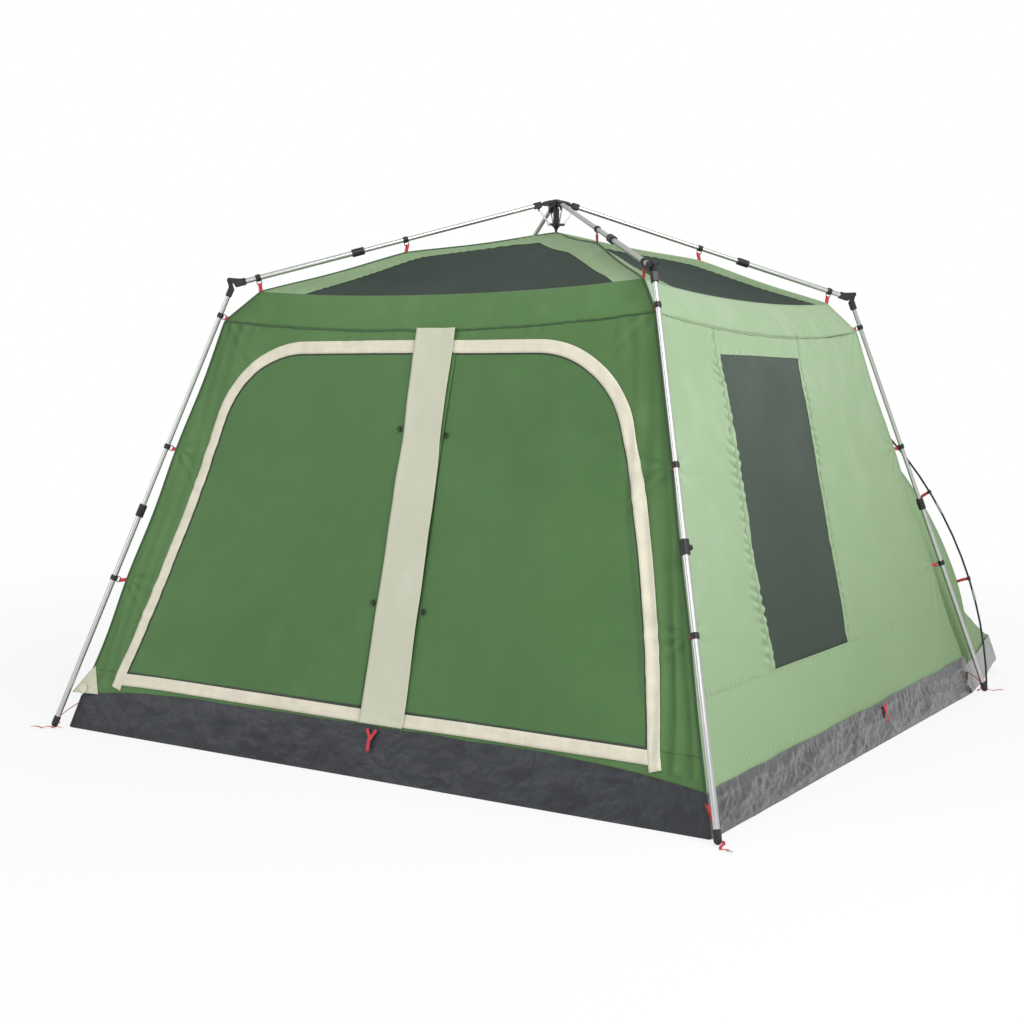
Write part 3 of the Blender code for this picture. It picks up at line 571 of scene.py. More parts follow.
def wallRelief(side, x, z):
    # How far the cloth stands out of the wall's plane: broad swells, folds from the clips, gathers at seams
    seed = seedFor(side, 10)
    half = halfAt(z)
    edge = half - np.abs(x)
    swell = 0.0065 * valueNoise(x * 1.5 + 5, z * 1.3 + 2, seed)
    swell += 0.0028 * valueNoise(x * 4.2, z * 3.4, seed + 1)
    swell += 0.0012 * valueNoise(x * 11, z * 9, seed + 2)
    gather = np.zeros_like(swell)
    for sign in (-1, 1):
        for height in body["clipHeights"][1:]:
            dx, dz = x - sign * halfAt(height), z - height
            far = np.hypot(dx, dz) + 1e-6
            turn = np.arctan2(dz, -sign * dx)
            gather += (0.0035 * np.exp(-far / 0.20) * step(far, 0.0, 0.06)
                       * np.cos(9 * turn + 3 * valueNoise(turn * 3, far * 4, seed + 3)))
    if side == "front":
        right = step(x, 0.55, 0.95)
        wander = 2.2 * valueNoise(edge * 9, z * 2.1, seed + 4)
        drape = np.cos(tau * (edge + 0.10 * (z - 0.4)) / 0.062 + wander)
        gather += drape * step(edge, 0.0, 0.035) * (1 - step(edge, 0.13, 0.21)) * (
            0.0022 + 0.0045 * right * (1 - step(z, 0.9, 1.4)))
        gather += 0.0018 * crease(x * 3.1, z * 2.6, seed + 5) * (1 - step(edge, 0.3, 0.5) * 0.5)
        gather += 0.0030 * valueNoise(x * 5.0, z * 34.0, seed + 6) * (1 - step(z, 0.19, 0.235))
    else:
        low, high = window["foot"], window["top"]
        front, rear = windowEdges(side, z)
        inside = step(z, low - 0.02, low + 0.05)
        seams = ((front - 0.035, 0.042, 0.0060, 6), (rear + 0.030, 0.026, 0.0042, 7))
        for place, reach, depth, number in seams:
            away = x - place + 0.010 * valueNoise(z * 9, x * 0, seed + number + 20)
            gather += depth * inside * pucker(z + 0.35 * away, away, 0.038, reach, seed + number)
            gather += 0.8 * depth * inside * np.exp(-(away / (reach * 1.3)) ** 2) * crease(
                z * 17 + away * 9, away * 21 - z * 5, seed + number + 30)
        gather += 0.0042 * pucker(x, z - low, 0.030, 0.018, seed + 8)
        gather += 0.0020 * crease(x * 2.6, z * 2.2, seed + 9)
        gather += 0.0026 * pucker(x, z - high, 0.045, 0.030, seed + 12) * step(x, front, front + 0.05) * (
            1 - step(x, rear - 0.03, rear + 0.02))
        gather *= 1 - 0.85 * windowMask(side, x, z)
    bandEdge = z - bandTop(side, x)
    gather += (0.0026 if side == "front" else 0.0055) * pucker(x, bandEdge, 0.033, 0.032, seed + 10)
    gather += 0.0016 * pucker(x, z - seamAt(x / half), 0.06, 0.06, seed + 11)
    hold = step(edge, 0.0, 0.03) * step(bandEdge, 0.0, 0.035)
    return (swell * step(edge, 0.0, 0.16) + gather) * hold


def wallPoint(side, x, z, lift=0.0):
    # (x, -(half - scallop s^8), z) + (relief + lift) normal, then turned to its side
    x, z = np.broadcast_arrays(np.asarray(x, float), np.asarray(z, float))
    s = np.clip(np.abs(x) / cornerHalf(z), 0, 1)
    out = halfAt(z) - scallopAt(z) * s ** 8
    flat = np.stack([x, -out, z], -1)
    return turned(flat + (wallRelief(side, x, z) + lift)[..., None] * outward, side)


def wallPatch(side, x, z, kept=None, lift=0.0):
    # A grid of a wall for addCloth: its cloth coordinates are x and the length z upright up the slope
    flat = np.stack([x, z * upright], -1)
    return wallPoint(side, x, z, lift), flat, kept


window = {"foot": 0.395, "top": 1.458,
          "frontFoot": -0.640, "frontTop": -0.508, "rearFoot": 0.030, "rearTop": 0.200}


def windowEdges(side, z):
    # The window's two upright edges at a height, in the wall's own across; the left wall mirrors the right
    share = (z - window["foot"]) / (window["top"] - window["foot"])
    front = window["frontFoot"] + (window["frontTop"] - window["frontFoot"]) * share
    rear = window["rearFoot"] + (window["rearTop"] - window["rearFoot"]) * share
    front = front + 0.006 * np.sin(7 * z)
    return (front, rear) if side != "left" else (-rear, -front)


def windowMask(side, x, z):
    # 1 inside the window and 0 outside, a product of one step for each edge
    front, rear = windowEdges(side, z)
    foot, top = window["foot"], window["top"]
    return (step(x, front, front + 0.02) * (1 - step(x, rear - 0.02, rear))
            * step(z, foot, foot + 0.03) * (1 - step(z, top - 0.03, top)))


door = {
    "foot": 0.2076, "top": 1.4774, "margin": 0.165, "radius": 0.380,
    "bowLeft": -0.026, "bowRight": 0.040,                        # how the cloth draws each door's free edge
    "hingeFoot": 0.088, "hingeTop": 0.080, "centre": 0.095,
    "tapeWidth": 0.046, "zipAndShadowWidth": 0.009,
}


def doorRim(side, steps, arcSteps, inset=0.0):
    # The free edge: straight up beside the wall's edge, x = half - margin less the inset, then an arc to the
    # top. A bow sin(pi z) draws it in or out at mid height.
    turn = math.atan(lean)
    radius = door["radius"] - inset
    top = door["top"] - inset / upright
    cz = door["top"] - door["radius"] / upright
    cx = halfAt(door["top"]) - door["margin"] - door["radius"] * math.tan((math.pi / 2 - turn) / 2)
    startZ = cz + radius * math.sin(turn) / upright
    z = np.linspace(door["foot"] + inset, startZ, steps)
    x = halfAt(z) - door["margin"] - inset * upright
    x += (cx + radius * math.cos(turn)) - x[-1]
    angle = np.linspace(turn, math.pi / 2, arcSteps + 1)[1:]
    z = np.concatenate([z, np.minimum(cz + radius * np.sin(angle) / upright, top)])
    x = np.concatenate([x, cx + radius * np.cos(angle)])
    bow = door["bowRight"] if side > 0 else door["bowLeft"]
    return side * (x + bow * np.sin(math.pi * np.clip((z - 0.2) / 1.22, 0, 1))), z


def hingeAt(side, z):
    # The slanting hinge: centre + side (hingeFoot + (hingeTop - hingeFoot) share of the door's height)
    share = (z - door["foot"]) / (door["top"] - door["foot"])
    return door["centre"] + side * (door["hingeFoot"] + (door["hingeTop"] - door["hingeFoot"]) * share)


def makeFrontWall():
    # Three patches: a horseshoe from the doors' rim to the wall's edge, the strip below and the strip between
    steps, arcSteps, across = 150, 46, 26
    inset = door["tapeWidth"] / 2 - 0.004
    left, right = doorRim(-1, steps, arcSteps, inset), doorRim(1, steps, arcSteps, inset)
    topX = np.linspace(left[0][-1], right[0][-1], 70)
    innerX = np.concatenate([left[0], topX[1:-1], right[0][::-1]])
    innerZ = np.concatenate([left[1], np.full(len(topX) - 2, left[1][-1]), right[1][::-1]])
    outerX, outerZ = [], []
    for side, rim in ((-1, left), (1, right)):
        straight = rim[1][:steps]
        rise = np.linspace(straight[-1], seamHeight - body["seamDrop"], arcSteps // 2 + 1)[1:]
        endX = side * np.linspace(cornerHalf(seamHeight), abs(rim[0][-1]), arcSteps - arcSteps // 2 + 1)[1:]
        x = np.concatenate([side * cornerHalf(straight), side * cornerHalf(rise), endX])
        z = np.concatenate([straight, rise, seamAt(endX / seamHalf)])
        outerX.append(x if side < 0 else x[::-1])
        outerZ.append(z if side < 0 else z[::-1])
    outerX = np.concatenate([outerX[0], topX[1:-1], outerX[1]])
    outerZ = np.concatenate([outerZ[0], seamAt(topX[1:-1] / seamHalf), outerZ[1]])
    w = np.linspace(0, 1, across)[:, None]
    horseshoe = wallPatch("front", innerX + (outerX - innerX) * w, innerZ + (outerZ - innerZ) * w)
    s, w = np.linspace(-1, 1, 340)[None, :], np.linspace(0, 1, 18)[:, None]
    low = bandTop("front", s * groundHalf) - fabric["tuck"]
    z = low + (door["foot"] + inset - low) * w
    below = wallPatch("front", s * cornerHalf(z), z)
    z = np.linspace(door["foot"] + inset, left[1][-1], 190)[:, None]
    c = np.linspace(0, 1, 14)[None, :]
    between = wallPatch("front", hingeAt(-1, z) * (1 - c) + hingeAt(1, z) * c, z + 0 * c)
    return addCloth("front_wall", [horseshoe, below, between], greenCloth, fabric["cloth"])


def makeDoor(side, name):
    # Rows follow the rim's heights: x runs from the hinge to the rim, which tucks under the tape
    x, z = doorRim(side, 150, 46, door["tapeWidth"] / 2 - 0.002)
    c = np.linspace(0, 1, 74)[None, :]
    hinge = hingeAt(side, z)[:, None]
    across = hinge * (1 - c) + x[:, None] * c
    if side < 0:
        across = across[:, ::-1]
    patch = wallPatch("front", across, z[:, None] + 0 * c, lift=0.0004)
    return addCloth(name, [patch], doorCloth, fabric["cloth"])


def ribbon(name, side, path, width, lift, finish, thickness=0.0012, columns=6):
    # A tape laid along (x, z) points of a wall: offset along the path's normal by c width
    x, z = path
    tangent = np.gradient(np.stack([x, z], -1), axis=0)
    tangent /= np.linalg.norm(tangent, axis=1, keepdims=True)
    c = np.linspace(-0.5, 0.5, columns)[:, None]
    px, pz = x - tangent[:, 1] * c * width, z + tangent[:, 0] * c * width
    run = runLengths(np.stack([x, z], -1))
    rise = lift + 0.0004 * np.cos(tau * run / 0.05 + 3 * valueNoise(run * 6, run * 0, 5)) * np.ones_like(px)
    points = wallPoint(side, px, pz, rise)
    flat = np.stack(np.broadcast_arrays(c * width, run[None, :]), -1)
    return addCloth(name, [(points[::-1], flat[::-1], None)], finish, thickness)


def makeDoorTrim():
    # A tape round both doors whose ends run on below, a tape along the sill, and a dark zip round each door
    # that also stands in for the shadow under the tape's inner edge
    steps, arcSteps = 150, 46
    (lx, lz), (rx, rz) = doorRim(-1, steps, arcSteps), doorRim(1, steps, arcSteps)
    tailZ = np.linspace(0.168, lz[0], 8)[:-1]
    lx, lz = np.concatenate([lx[0] - (tailZ - lz[0]) * -lean, lx]), np.concatenate([tailZ, lz])
    rx, rz = np.concatenate([rx[0] - (tailZ - rz[0]) * lean, rx]), np.concatenate([tailZ, rz])
    topX = np.linspace(lx[-1], rx[-1], 90)[1:-1]
    x = np.concatenate([lx, topX, rx[::-1]])
    z = np.concatenate([lz, np.full(len(topX), lz[-1]), rz[::-1]])
    rim = ribbon("door_tape", "front", (x, z), door["tapeWidth"], 0.0034, creamTape)
    x = np.linspace(lx[7] - 0.018, rx[7] + 0.018, 330)
    z = np.full_like(x, door["foot"] - 0.002) + 0.004 * valueNoise(x * 2.2, x * 0, 91)
    sill = ribbon("door_sill_tape", "front", (x, z), door["tapeWidth"] - 0.002, 0.0026, creamTape)
    zipAndShadowStrips = []
    for side, name in ((-1, "left"), (1, "right")):
        x, z = doorRim(side, steps, arcSteps, door["tapeWidth"] / 2 + 0.001)
        endX = np.linspace(x[-1], hingeAt(side, z[-1]), 40)[1:]
        footX = np.linspace(hingeAt(side, z[0]), x[0], 90)[:-1]
        x = np.concatenate([footX, x, endX])
        z = np.concatenate([np.full_like(footX, z[0]), z, np.full_like(endX, z[-1])])
        zipAndShadowStrips.append(ribbon("door_zip_and_shadow_" + name, "front", (x, z), door["zipAndShadowWidth"], 0.0016, zipAndShadowCloth, 0.0010,
                           4))
    return rim, sill, zipAndShadowStrips


flapValues = {"foot": 0.180, "top": 1.542, "footX": (0.019, 0.203), "topX": (0.002, 0.163), "lift": 0.0075}


def makeFlap():
    # The storm flap over the doors' centre: x runs between two slanting edges, lift swells with s and z
    z = np.linspace(flapValues["foot"], flapValues["top"], 220)[:, None]
    share = (z - flapValues["foot"]) / (flapValues["top"] - flapValues["foot"])
    edges = [a * (1 - share) + b * share for a, b in zip(flapValues["footX"], flapValues["topX"])]
    c = np.linspace(0, 1, 22)[None, :]
    curl = 0.003 * np.abs(2 * c - 1) ** 3 * (1 + valueNoise(z * 7, c * 2, 93))
    lift = flapValues["lift"] + curl + 0.0016 * valueNoise(z * 11, c * 3, 94) + 0.0012 * np.sin(9 * z + 2 * c)
    x = edges[0] * (1 - c) + edges[1] * c + 0.0025 * valueNoise(z * 6, c, 95)
    points, flat, _ = wallPatch("front", x, z + 0 * c, lift=lift)
    return addCloth("centre_flap", [(points, flat, None)], creamFlap, 0.0011)


frontWall = makeFrontWall()
doors = [makeDoor(-1, "door_cloth_left"), makeDoor(1, "door_cloth_right")]
rimTape, sillTape, zipAndShadowStrips = makeDoorTrim()
flap = makeFlap()
onBody(frontWall, "tent_body", True)
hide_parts("wall_front")
for piece, owner in zip(doors, ("door_left", "door_right")):
    onBody(piece, owner, True)
    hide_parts(owner)
for piece in (rimTape, sillTape, flap):
    onBody(piece, "tent_body", True)
for piece in zipAndShadowStrips:
    onBody(piece, "tent_body", True)
print("front wall and doors made")


def runShares(counts):
    # For runs of so many cells laid end to end: each point's share of its run, 0 to 1, and the run's number
    shares = [np.linspace(0, 1, count + 1)[min(i, 1):] for i, count in enumerate(counts)]
    return np.concatenate(shares), np.repeat(range(len(counts)), [len(share) for share in shares])


def makeSideWall(side):
    # One grid with breaks at the window's edges; its cells there become the window's own piece
    counts = (60, 150, 30)
    columns = (112, 96, 132) if side == "right" else (132, 96, 112)
    shares, parts = (row[None, :] for row in runShares(columns))
    rowShare, band = (column[:, None] for column in runShares(counts))
    front, rear = windowEdges(side, window["foot"] + 0 * shares)
    wide = halfAt(0.2)
    rough = np.where(parts == 0, -wide * (1 - shares) + front * shares,
                     np.where(parts == 1, front + (rear - front) * shares, rear + (wide - rear) * shares))
    foot, top = window["foot"], window["top"]
    low = np.where(band == 0, bandTop(side, rough) - fabric["tuck"], np.where(band == 1, foot, top))
    high = np.where(band == 0, foot, np.where(band == 1, top, seamAt(rough / wide)))
    z = low + (high - low) * rowShare
    front, rear = windowEdges(side, np.clip(z, foot, top))
    half = cornerHalf(z)
    stops = [-half, front, rear, half]
    x = sum((parts == i) * (stops[i] + (stops[i + 1] - stops[i]) * shares) for i in range(3))
    inWindow = np.zeros((x.shape[0] - 1, x.shape[1] - 1), bool)
    inWindow[counts[0]:counts[0] + counts[1], columns[0]:columns[0] + columns[1]] = True
    cloth = addCloth(f"{side}_wall", [wallPatch(side, x, z, ~inWindow)], paintedLightGreenCloth)
    net = addCloth(f"{side}_window_net", [wallPatch(side, x, z, inWindow, fabric["netInset"])], windowNet,
                   fabric["net"])
    return cloth, net


def makeSideSeams(side):
    # A narrow tape up each side of the window, and one along its foot from corner to corner
    z = np.linspace(window["foot"], seamHeight - 0.035, 200)
    front, rear = windowEdges(side, z)
    near, far = (0.034, 0.030) if side == "right" else (0.030, 0.034)
    x = np.linspace(-halfAt(window["foot"]) + 0.004, halfAt(window["foot"]) - 0.004, 360)
    paths = {"window_seam_a": (front - near, z), "window_seam_b": (rear + far, z),
             "low_seam": (x, np.full_like(x, window["foot"] - 0.004))}
    tapes = [ribbon(f"{side}_{name}", side, path, 0.004, 0.0008, paintedLightGreenTape, 0.0008, 3)
             for name, path in paths.items()]
    return joinPieces(f"{side}_seams", tapes)


for side in ("right", "left"):
    cloth, net = makeSideWall(side)
    onBody(cloth, "tent_body", True)
    onBody(net, "tent_body", True)
    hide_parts(f"wall_{side}")
    onBody(makeSideSeams(side), "tent_body", True)
print("side walls made")


bay = {"openHalf": 1.180, "openFoot": 0.2076, "openTop": 1.3325, "inset": 0.055, "half": 1.290, "rear": 2.030,
       "cornerLift": 0.045, "cornerReach": 0.28, "pole": 0.0045, "poleFoot": 0.0034}


def makeRearWall():
    # inner(a) = (openHalf cos a, foot + rise sin a); outer runs up one side, over the top and down the other
    count, across = 260, 22
    a = np.linspace(math.pi, 0, count)
    innerX = bay["openHalf"] * np.cos(a)
    innerZ = bay["openFoot"] + (bay["openTop"] - bay["openFoot"]) * np.sin(a)
    f = np.linspace(0, 1, count)
    rise = seamHeight - body["seamDrop"] - bay["openFoot"]
    z = bay["openFoot"] + rise * np.clip(np.minimum(f, 1 - f) * 4, 0, 1)
    topX = seamHalf * np.clip((f - 0.5) * 4, -1, 1)
    outerX = np.where(np.abs(f - 0.5) > 0.25, np.sign(f - 0.5) * cornerHalf(z), topX)
    outerZ = np.where(np.abs(f - 0.5) > 0.25, z, seamAt(topX / seamHalf))
    w = np.linspace(0, 1, across)[:, None]
    arch = wallPatch("rear", innerX + (outerX - innerX) * w, innerZ + (outerZ - innerZ) * w)
    z = np.linspace(0.004, bay["openFoot"], 16)[:, None]
    s = np.linspace(-1, 1, 220)[None, :]
    sill = wallPatch("rear", s * cornerHalf(z), z + 0 * s)
    return addCloth("rear_wall", [arch, sill], paintedLightGreenCloth, fabric["cloth"])


def archLine(a, inset=0.0):
    # (half cos a, footY + back sin a, footZ + rise sin a), each drawn in by the inset
    radius = (archHigh.x - archLow.x) / 2
    pole, foot = bay["pole"], bay["poleFoot"]
    half, rise = radius - pole, archHigh.z - pole - foot
    back = (archLow.y + pole) - (archHigh.y - pole)
    share = (rise - inset) / rise
    return np.stack([(half - inset) * np.cos(a), archHigh.y - pole + back * share * np.sin(a),
                     foot + rise * share * np.sin(a)], -1)


def groundLift(x, y):
    # The bay's rear corners rise off the ground: cornerLift exp(-(distance / cornerReach)^2)
    far = np.hypot(np.abs(x) - bay["half"], y - bay["rear"])
    return bay["cornerLift"] * np.exp(-(far / bay["cornerReach"]) ** 2)


def makeBay():
    # Ribs: the opening's edge, the line under the pole and the tub's rear edge, joined by sagging runs
    count = 200
    a = np.linspace(0, math.pi, count)
    ax, az = bay["openHalf"] * np.cos(a), bay["openFoot"] + (bay["openTop"] - bay["openFoot"]) * np.sin(a)
    wall = np.stack([ax, halfAt(az) + 0.002, az], -1)
    lift = 0.119
    low = np.clip(1 - np.sin(a) / 0.35, 0, 1)[:, None]
    wallFoot = np.stack([np.sign(ax) * (halfAt(lift) - 0.03), np.full(count, halfAt(lift)),
                         np.full(count, lift)], -1)
    wall = wall * (1 - low ** 2) + wallFoot * low ** 2
    under = archLine(a, bay["inset"])
    underFoot = np.stack([np.sign(ax) * (halfAt(lift) - 0.010), np.full(count, groundHalf + 0.008),
                          np.full(count, lift)], -1)
    under = under * (1 - low ** 2) + underFoot * low ** 2
    cornerX, cornerY = bay["half"] - lean * lift, bay["rear"] - lean * lift
    f = np.linspace(0, 1, count)
    turn = 0.11
    sideShare = np.clip(np.minimum(f, 1 - f) / turn, 0, 1)
    footX = halfAt(lift) - 0.006
    baseX = np.where(sideShare < 1, np.sign(0.5 - f) * (footX + (cornerX - footX) * sideShare),
                     cornerX * (0.5 - f) / (0.5 - turn))
    baseY = groundHalf + 0.016 + (cornerY - groundHalf - 0.016) * sideShare
    base = np.stack([baseX, baseY, lift + groundLift(baseX, baseY)], -1)
    rows = []
    centre = np.array([0.0, groundHalf, 0.45])
    for start, end, number, sag in ((wall, under, 16, 0.012), (under, base, 44, 0.055)):
        t = np.linspace(0, 1, number + 1)[(0 if not rows else 1):, None, None]
        run = start[None] + (end - start)[None] * t
        inward = centre - run
        inward /= np.linalg.norm(inward, axis=-1, keepdims=True)
        taut = np.linalg.norm(end - start, axis=-1)[None, :, None]
        u, v = f[None, :] * 5.2, t[..., 0] * 1.4
        ripple = 0.004 * valueNoise(u * 2.4, v * 3, 120) + 0.0035 * crease(u * 3.4, v * 3.8, 122)
        hold = np.sin(math.pi * np.clip(t, 0, 1)) * np.clip(taut / 0.3, 0, 1)
        slack = sag * 4 * t * (1 - t) * np.clip(taut / 0.8, 0, 1)
        rows.append(run + inward * slack + inward * ripple[..., None] * hold)
    points = np.concatenate(rows)[::-1, ::-1]
    return addCloth("rear_bay_cloth", [(points, gridUV(points), None)], paintedLightGreenCloth, fabric["cloth"])


rearWall, bayCloth = makeRearWall(), makeBay()
onBody(rearWall, "tent_body", True)
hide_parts("wall_rear")
onBody(bayCloth, "tent_body", True)
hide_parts("rear_bay")
print("rear wall and bay made")


def ridgeHeight(half):
    # Straight from the eave to the knee and on to the apex, with a slight sag in each run
    knots = (0.0, body["kneeHalf"], body["upperHalf"])
    phase = np.interp(half, knots, (0, 1, 2))
    return (np.interp(half, knots, (apexHeight, body["kneeHeight"], body["upperHeight"]))
            - 0.006 * np.sin(math.pi * phase) ** 2)


def roofPoint(side, s, v, lift=0.0):
    # half = upperHalf (1 - v); z = middle + (ridge - middle) |s|^2.2
    half = body["upperHalf"] * (1 - v)
    low = body["upperHeight"] - body["upperSag"]
    middle = low + (apexHeight - low) * v
    z = middle + (ridgeHeight(half) - middle) * np.abs(s) ** 2.2
    seed = seedFor(side, 210)
    x = s * half
    front, rear = netEdges(side, v)
    strip = step(s, rear - 0.02, rear + 0.02) + 1 - step(s, front - 0.02, front + 0.02)
    along = half * (1.6 + 0.8 * np.abs(s))
    ripple = 0.0035 * np.cos(tau * along / 0.052 + 2.6 * valueNoise(s * 5, v * 7, seed)) * strip
    ripple += 0.005 * valueNoise(x * 3.2, v * 3.0, seed + 1) + 0.002 * crease(x * 7, v * 6, seed + 2) * strip
    hold = step(1 - np.abs(s), 0.0, 0.10) * step(v, 0.0, 0.06) * step(1 - v, 0.0, 0.10)
    return turned(np.stack([x, -half, z + ripple * hold + lift], -1), side)


roofNetShape = {"half": (0.610, 0.715), "power": (0.66, 1.0), "sidePower": 0.85,
                "topHalf": 0.145, "topWidth": 0.012}


def netEdges(side, v):
    # In plan, x = half ((y - top) / (upperHalf - top))^power; s = x / y
    half = np.maximum(body["upperHalf"] * (1 - v), 0.02)
    top = roofNetShape["topHalf"]
    share = np.clip((half - top) / (body["upperHalf"] - top), 0, 1)
    powers = roofNetShape["power"] if side == "front" else (roofNetShape["sidePower"],) * 2
    edges = [reach * share ** power + roofNetShape["topWidth"]
             for reach, power in zip(roofNetShape["half"], powers)]
    keep = np.where(half > top, half, top)
    return -edges[0] / keep, edges[1] / keep


def eavePoint(side, s, w):
    # Straight from the lower seam to the upper one, with a bulge sin(pi w)
    z = seamAt(s)
    lower = np.stack([s * cornerHalf(z), -(halfAt(z) - scallopAt(z) * np.abs(s) ** 8), z + 0 * s], -1)
    upper = np.stack([s * body["upperHalf"], np.full_like(s, -body["upperHalf"]),
                      body["upperHeight"] - body["upperSag"] * (1 - np.abs(s) ** 2.2)], -1)
    seed = seedFor(side, 310)
    ripple = 0.010 + 0.004 * valueNoise(s * 5, w * 2, seed)
    ripple = ripple + 0.0016 * np.cos(s * 60 + 3 * valueNoise(s * 6, w, seed + 1))
    bulge = ripple * np.sin(math.pi * w) * (1 - np.abs(s) ** 6)
    middle = lower + (upper - lower) * w[..., None]
    return turned(middle + bulge[..., None] * np.array([0, -0.76, 0.65]), side)


def makeRoof():
    # Per side: three runs of columns that part at the net's edges; rows part at the net's tip
    tip = 1 - roofNetShape["topHalf"] / body["upperHalf"]
    tipRow = 60
    v = np.concatenate([np.linspace(0, tip, tipRow + 1), np.linspace(tip, 1, 13)[1:]])[:, None]
    clothPatches, netPatches = [], []
    for number, side in enumerate(wallYaw):
        front, rear = netEdges(side, v)
        runs = [(-1 + 0 * v, front, 34), (front, rear, 56), (rear, 1 + 0 * v, 34)]
        s = np.concatenate([a + (b - a) * np.linspace(0, 1, n + 1)[(0 if i == 0 else 1):][None, :]
                            for i, (a, b, n) in enumerate(runs)], axis=1)
        inNet = np.zeros((len(v) - 1, s.shape[1] - 1), bool)
        inNet[:tipRow, runs[0][2]:runs[0][2] + runs[1][2]] = True
        place = roofPoint(side, s, v + 0 * s)
        flat = np.stack([s * body["upperHalf"] * (1 - v) + 1.8 * number, v * 0.89 + 0 * s], -1)
        clothPatches.append((place, flat, ~inNet))
        netPatches.append((roofPoint(side, s, v + 0 * s, fabric["netInset"]), flat, inNet))
    cloth = addCloth("roof_cloth", clothPatches, paintedLightRoofFinish, fabric["cloth"], 0.0006)
    net = addCloth("roof_nets", netPatches, roofNet, fabric["net"])
    return cloth, net


def eavePatch(side):
    # A grid of one side's eave; on the flat the four lie side by side
    s, w = np.meshgrid(np.linspace(-1, 1, 150), np.linspace(0, 1, 14))
    place = eavePoint(side, s, w)
    return place, np.stack([s * 0.89 + 1.85 * list(wallYaw).index(side), w * 0.16], -1), None


roof, roofNets = makeRoof()
frontEave = addCloth("front_eave", [eavePatch("front")], greenCloth, fabric["cloth"])
sideEaves = addCloth("side_eaves", [eavePatch(side) for side in ("right", "rear", "left")], paintedLightGreenCloth,
                     fabric["cloth"])
onBody(roof, "tent_body", True)
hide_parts("roof_canopy")
onBody(roofNets, "tent_body", True)
onBody(frontEave, "tent_body", True)
onBody(sideEaves, "tent_body", True)


def makeEaveSeam(side, finish):
    # A stitched tape along the lower seam, a little wavy
    s = np.linspace(-0.995, 0.995, 300)
    z = seamAt(s) - 0.002 + 0.002 * valueNoise(s * 9, s * 0, 130)
    return ribbon(f"{side}_eave_seam", side, (s * cornerHalf(z), z), 0.005, 0.0014, finish, 0.0009, 3)


for side in wallYaw:
    finish, slotName = (darkGreenTape, "green_fabric") if side == "front" else (paintedLightGreenTape, "sage_fabric")
    onBody(makeEaveSeam(side, finish), "tent_body", True)


def cornerEdge(signs, top=True):
    # The sewn corner from the tub to the eave, then the ridge to the apex
    z = np.linspace(body["bandTop"] - 0.01, seamHeight - body["seamDrop"], 90)
    half = cornerHalf(z)
    path = [np.stack([signs[0] * half, signs[1] * half, z], -1)]
    half = np.linspace(body["upperHalf"], 0.004, 60)
    path.append(np.stack([signs[0] * half, signs[1] * half, ridgeHeight(half)], -1))
    return alongPath(np.concatenate(path), 170)


for corner, signs in cornerSigns.items():
    finish, slotName = (darkGreenTape, "green_fabric") if "front" in corner else (paintedLightGreenTape, "sage_fabric")
    seam = sweep(f"corner_seam_{corner}", cornerEdge(signs), roundProfile(0.0042, 8), finish,
                 (signs[0], signs[1], 0.15))
    onBody(seam, "tent_body", True)
print("roof made")


def tubBand(start, end, kind, seed, columns, rows=30, flip=False, corners=(1, 1)):
    # From start to end along the ground, seen from outside left to right: crumpled cloth of height top(s).
    # At an end that is a corner the band leans in along itself too.
    start, end = np.array([*start, 0.0]), np.array([*end, 0.0])
    length = np.linalg.norm(end - start)
    along = (end - start) / length
    out = np.array([along[1], -along[0], 0.0])
    s, h = np.meshgrid(np.linspace(-1, 1, columns), np.linspace(0, 1, rows))
    top = bandTop({"front": "front", "side": "right"}.get(kind, "rear"), (-s if flip else s) * groundHalf)
    ground = 0.0015 + groundLift((start + end)[0] / 2 + along[0] * s * length / 2,
                                 (start + end)[1] / 2 + along[1] * s * length / 2)
    z = ground + h * (top - 0.0015)
    inset = lean * (z - ground)
    u = s * length / 2
    deep = tub["frontDepth"] if kind == "front" else tub["sideDepth"]
    warp = 0.5 * valueNoise(u * 5, z * 9, seed + 5)
    crumple = (1.0 * crease(u * 4.2 + z * 7, z * 11 - u * 1.5 + warp, seed)
               + 0.55 * crease(u * 10 - z * 11, z * 21 + warp, seed + 2)
               + 0.26 * crease(u * 24 + z * 15, z * 40 + u * 7, seed + 4))
    sweepFold = valueNoise(u * 2.2, z * 3, seed + 6)
    gather = np.cos(tau * u / 0.047 + 6.0 * valueNoise(u * 9, z * 9, seed + 7)) * np.exp(-(top - z) / 0.030)
    gather *= 0.6 + 0.8 * valueNoise(u * 3.5, z * 2, seed + 8)
    hold = step(1 - np.abs(s), 0.0, 0.02) * (0.25 + 0.75 * step(h, 0.0, 0.18))
    hold = hold * (1 - 0.92 * step(h, 0.72, 1.0))
    push = deep * (0.55 * crumple + 0.5 * sweepFold + (0.24 if kind != "front" else 0.12) * gather) * hold
    trim = np.where(s < 0, -corners[0], corners[1]) * np.abs(s) ** 4 * inset
    base = (start + end) / 2 + along * (u - trim)[..., None]
    place = base + out * (push - inset + 0.0026)[..., None]
    place[..., 2] = z + 0.3 * push * step(h, 0.2, 0.6)
    return place, np.stack([u + 0.15 * seed, z], -1), None      # the bands lie side by side on the flat


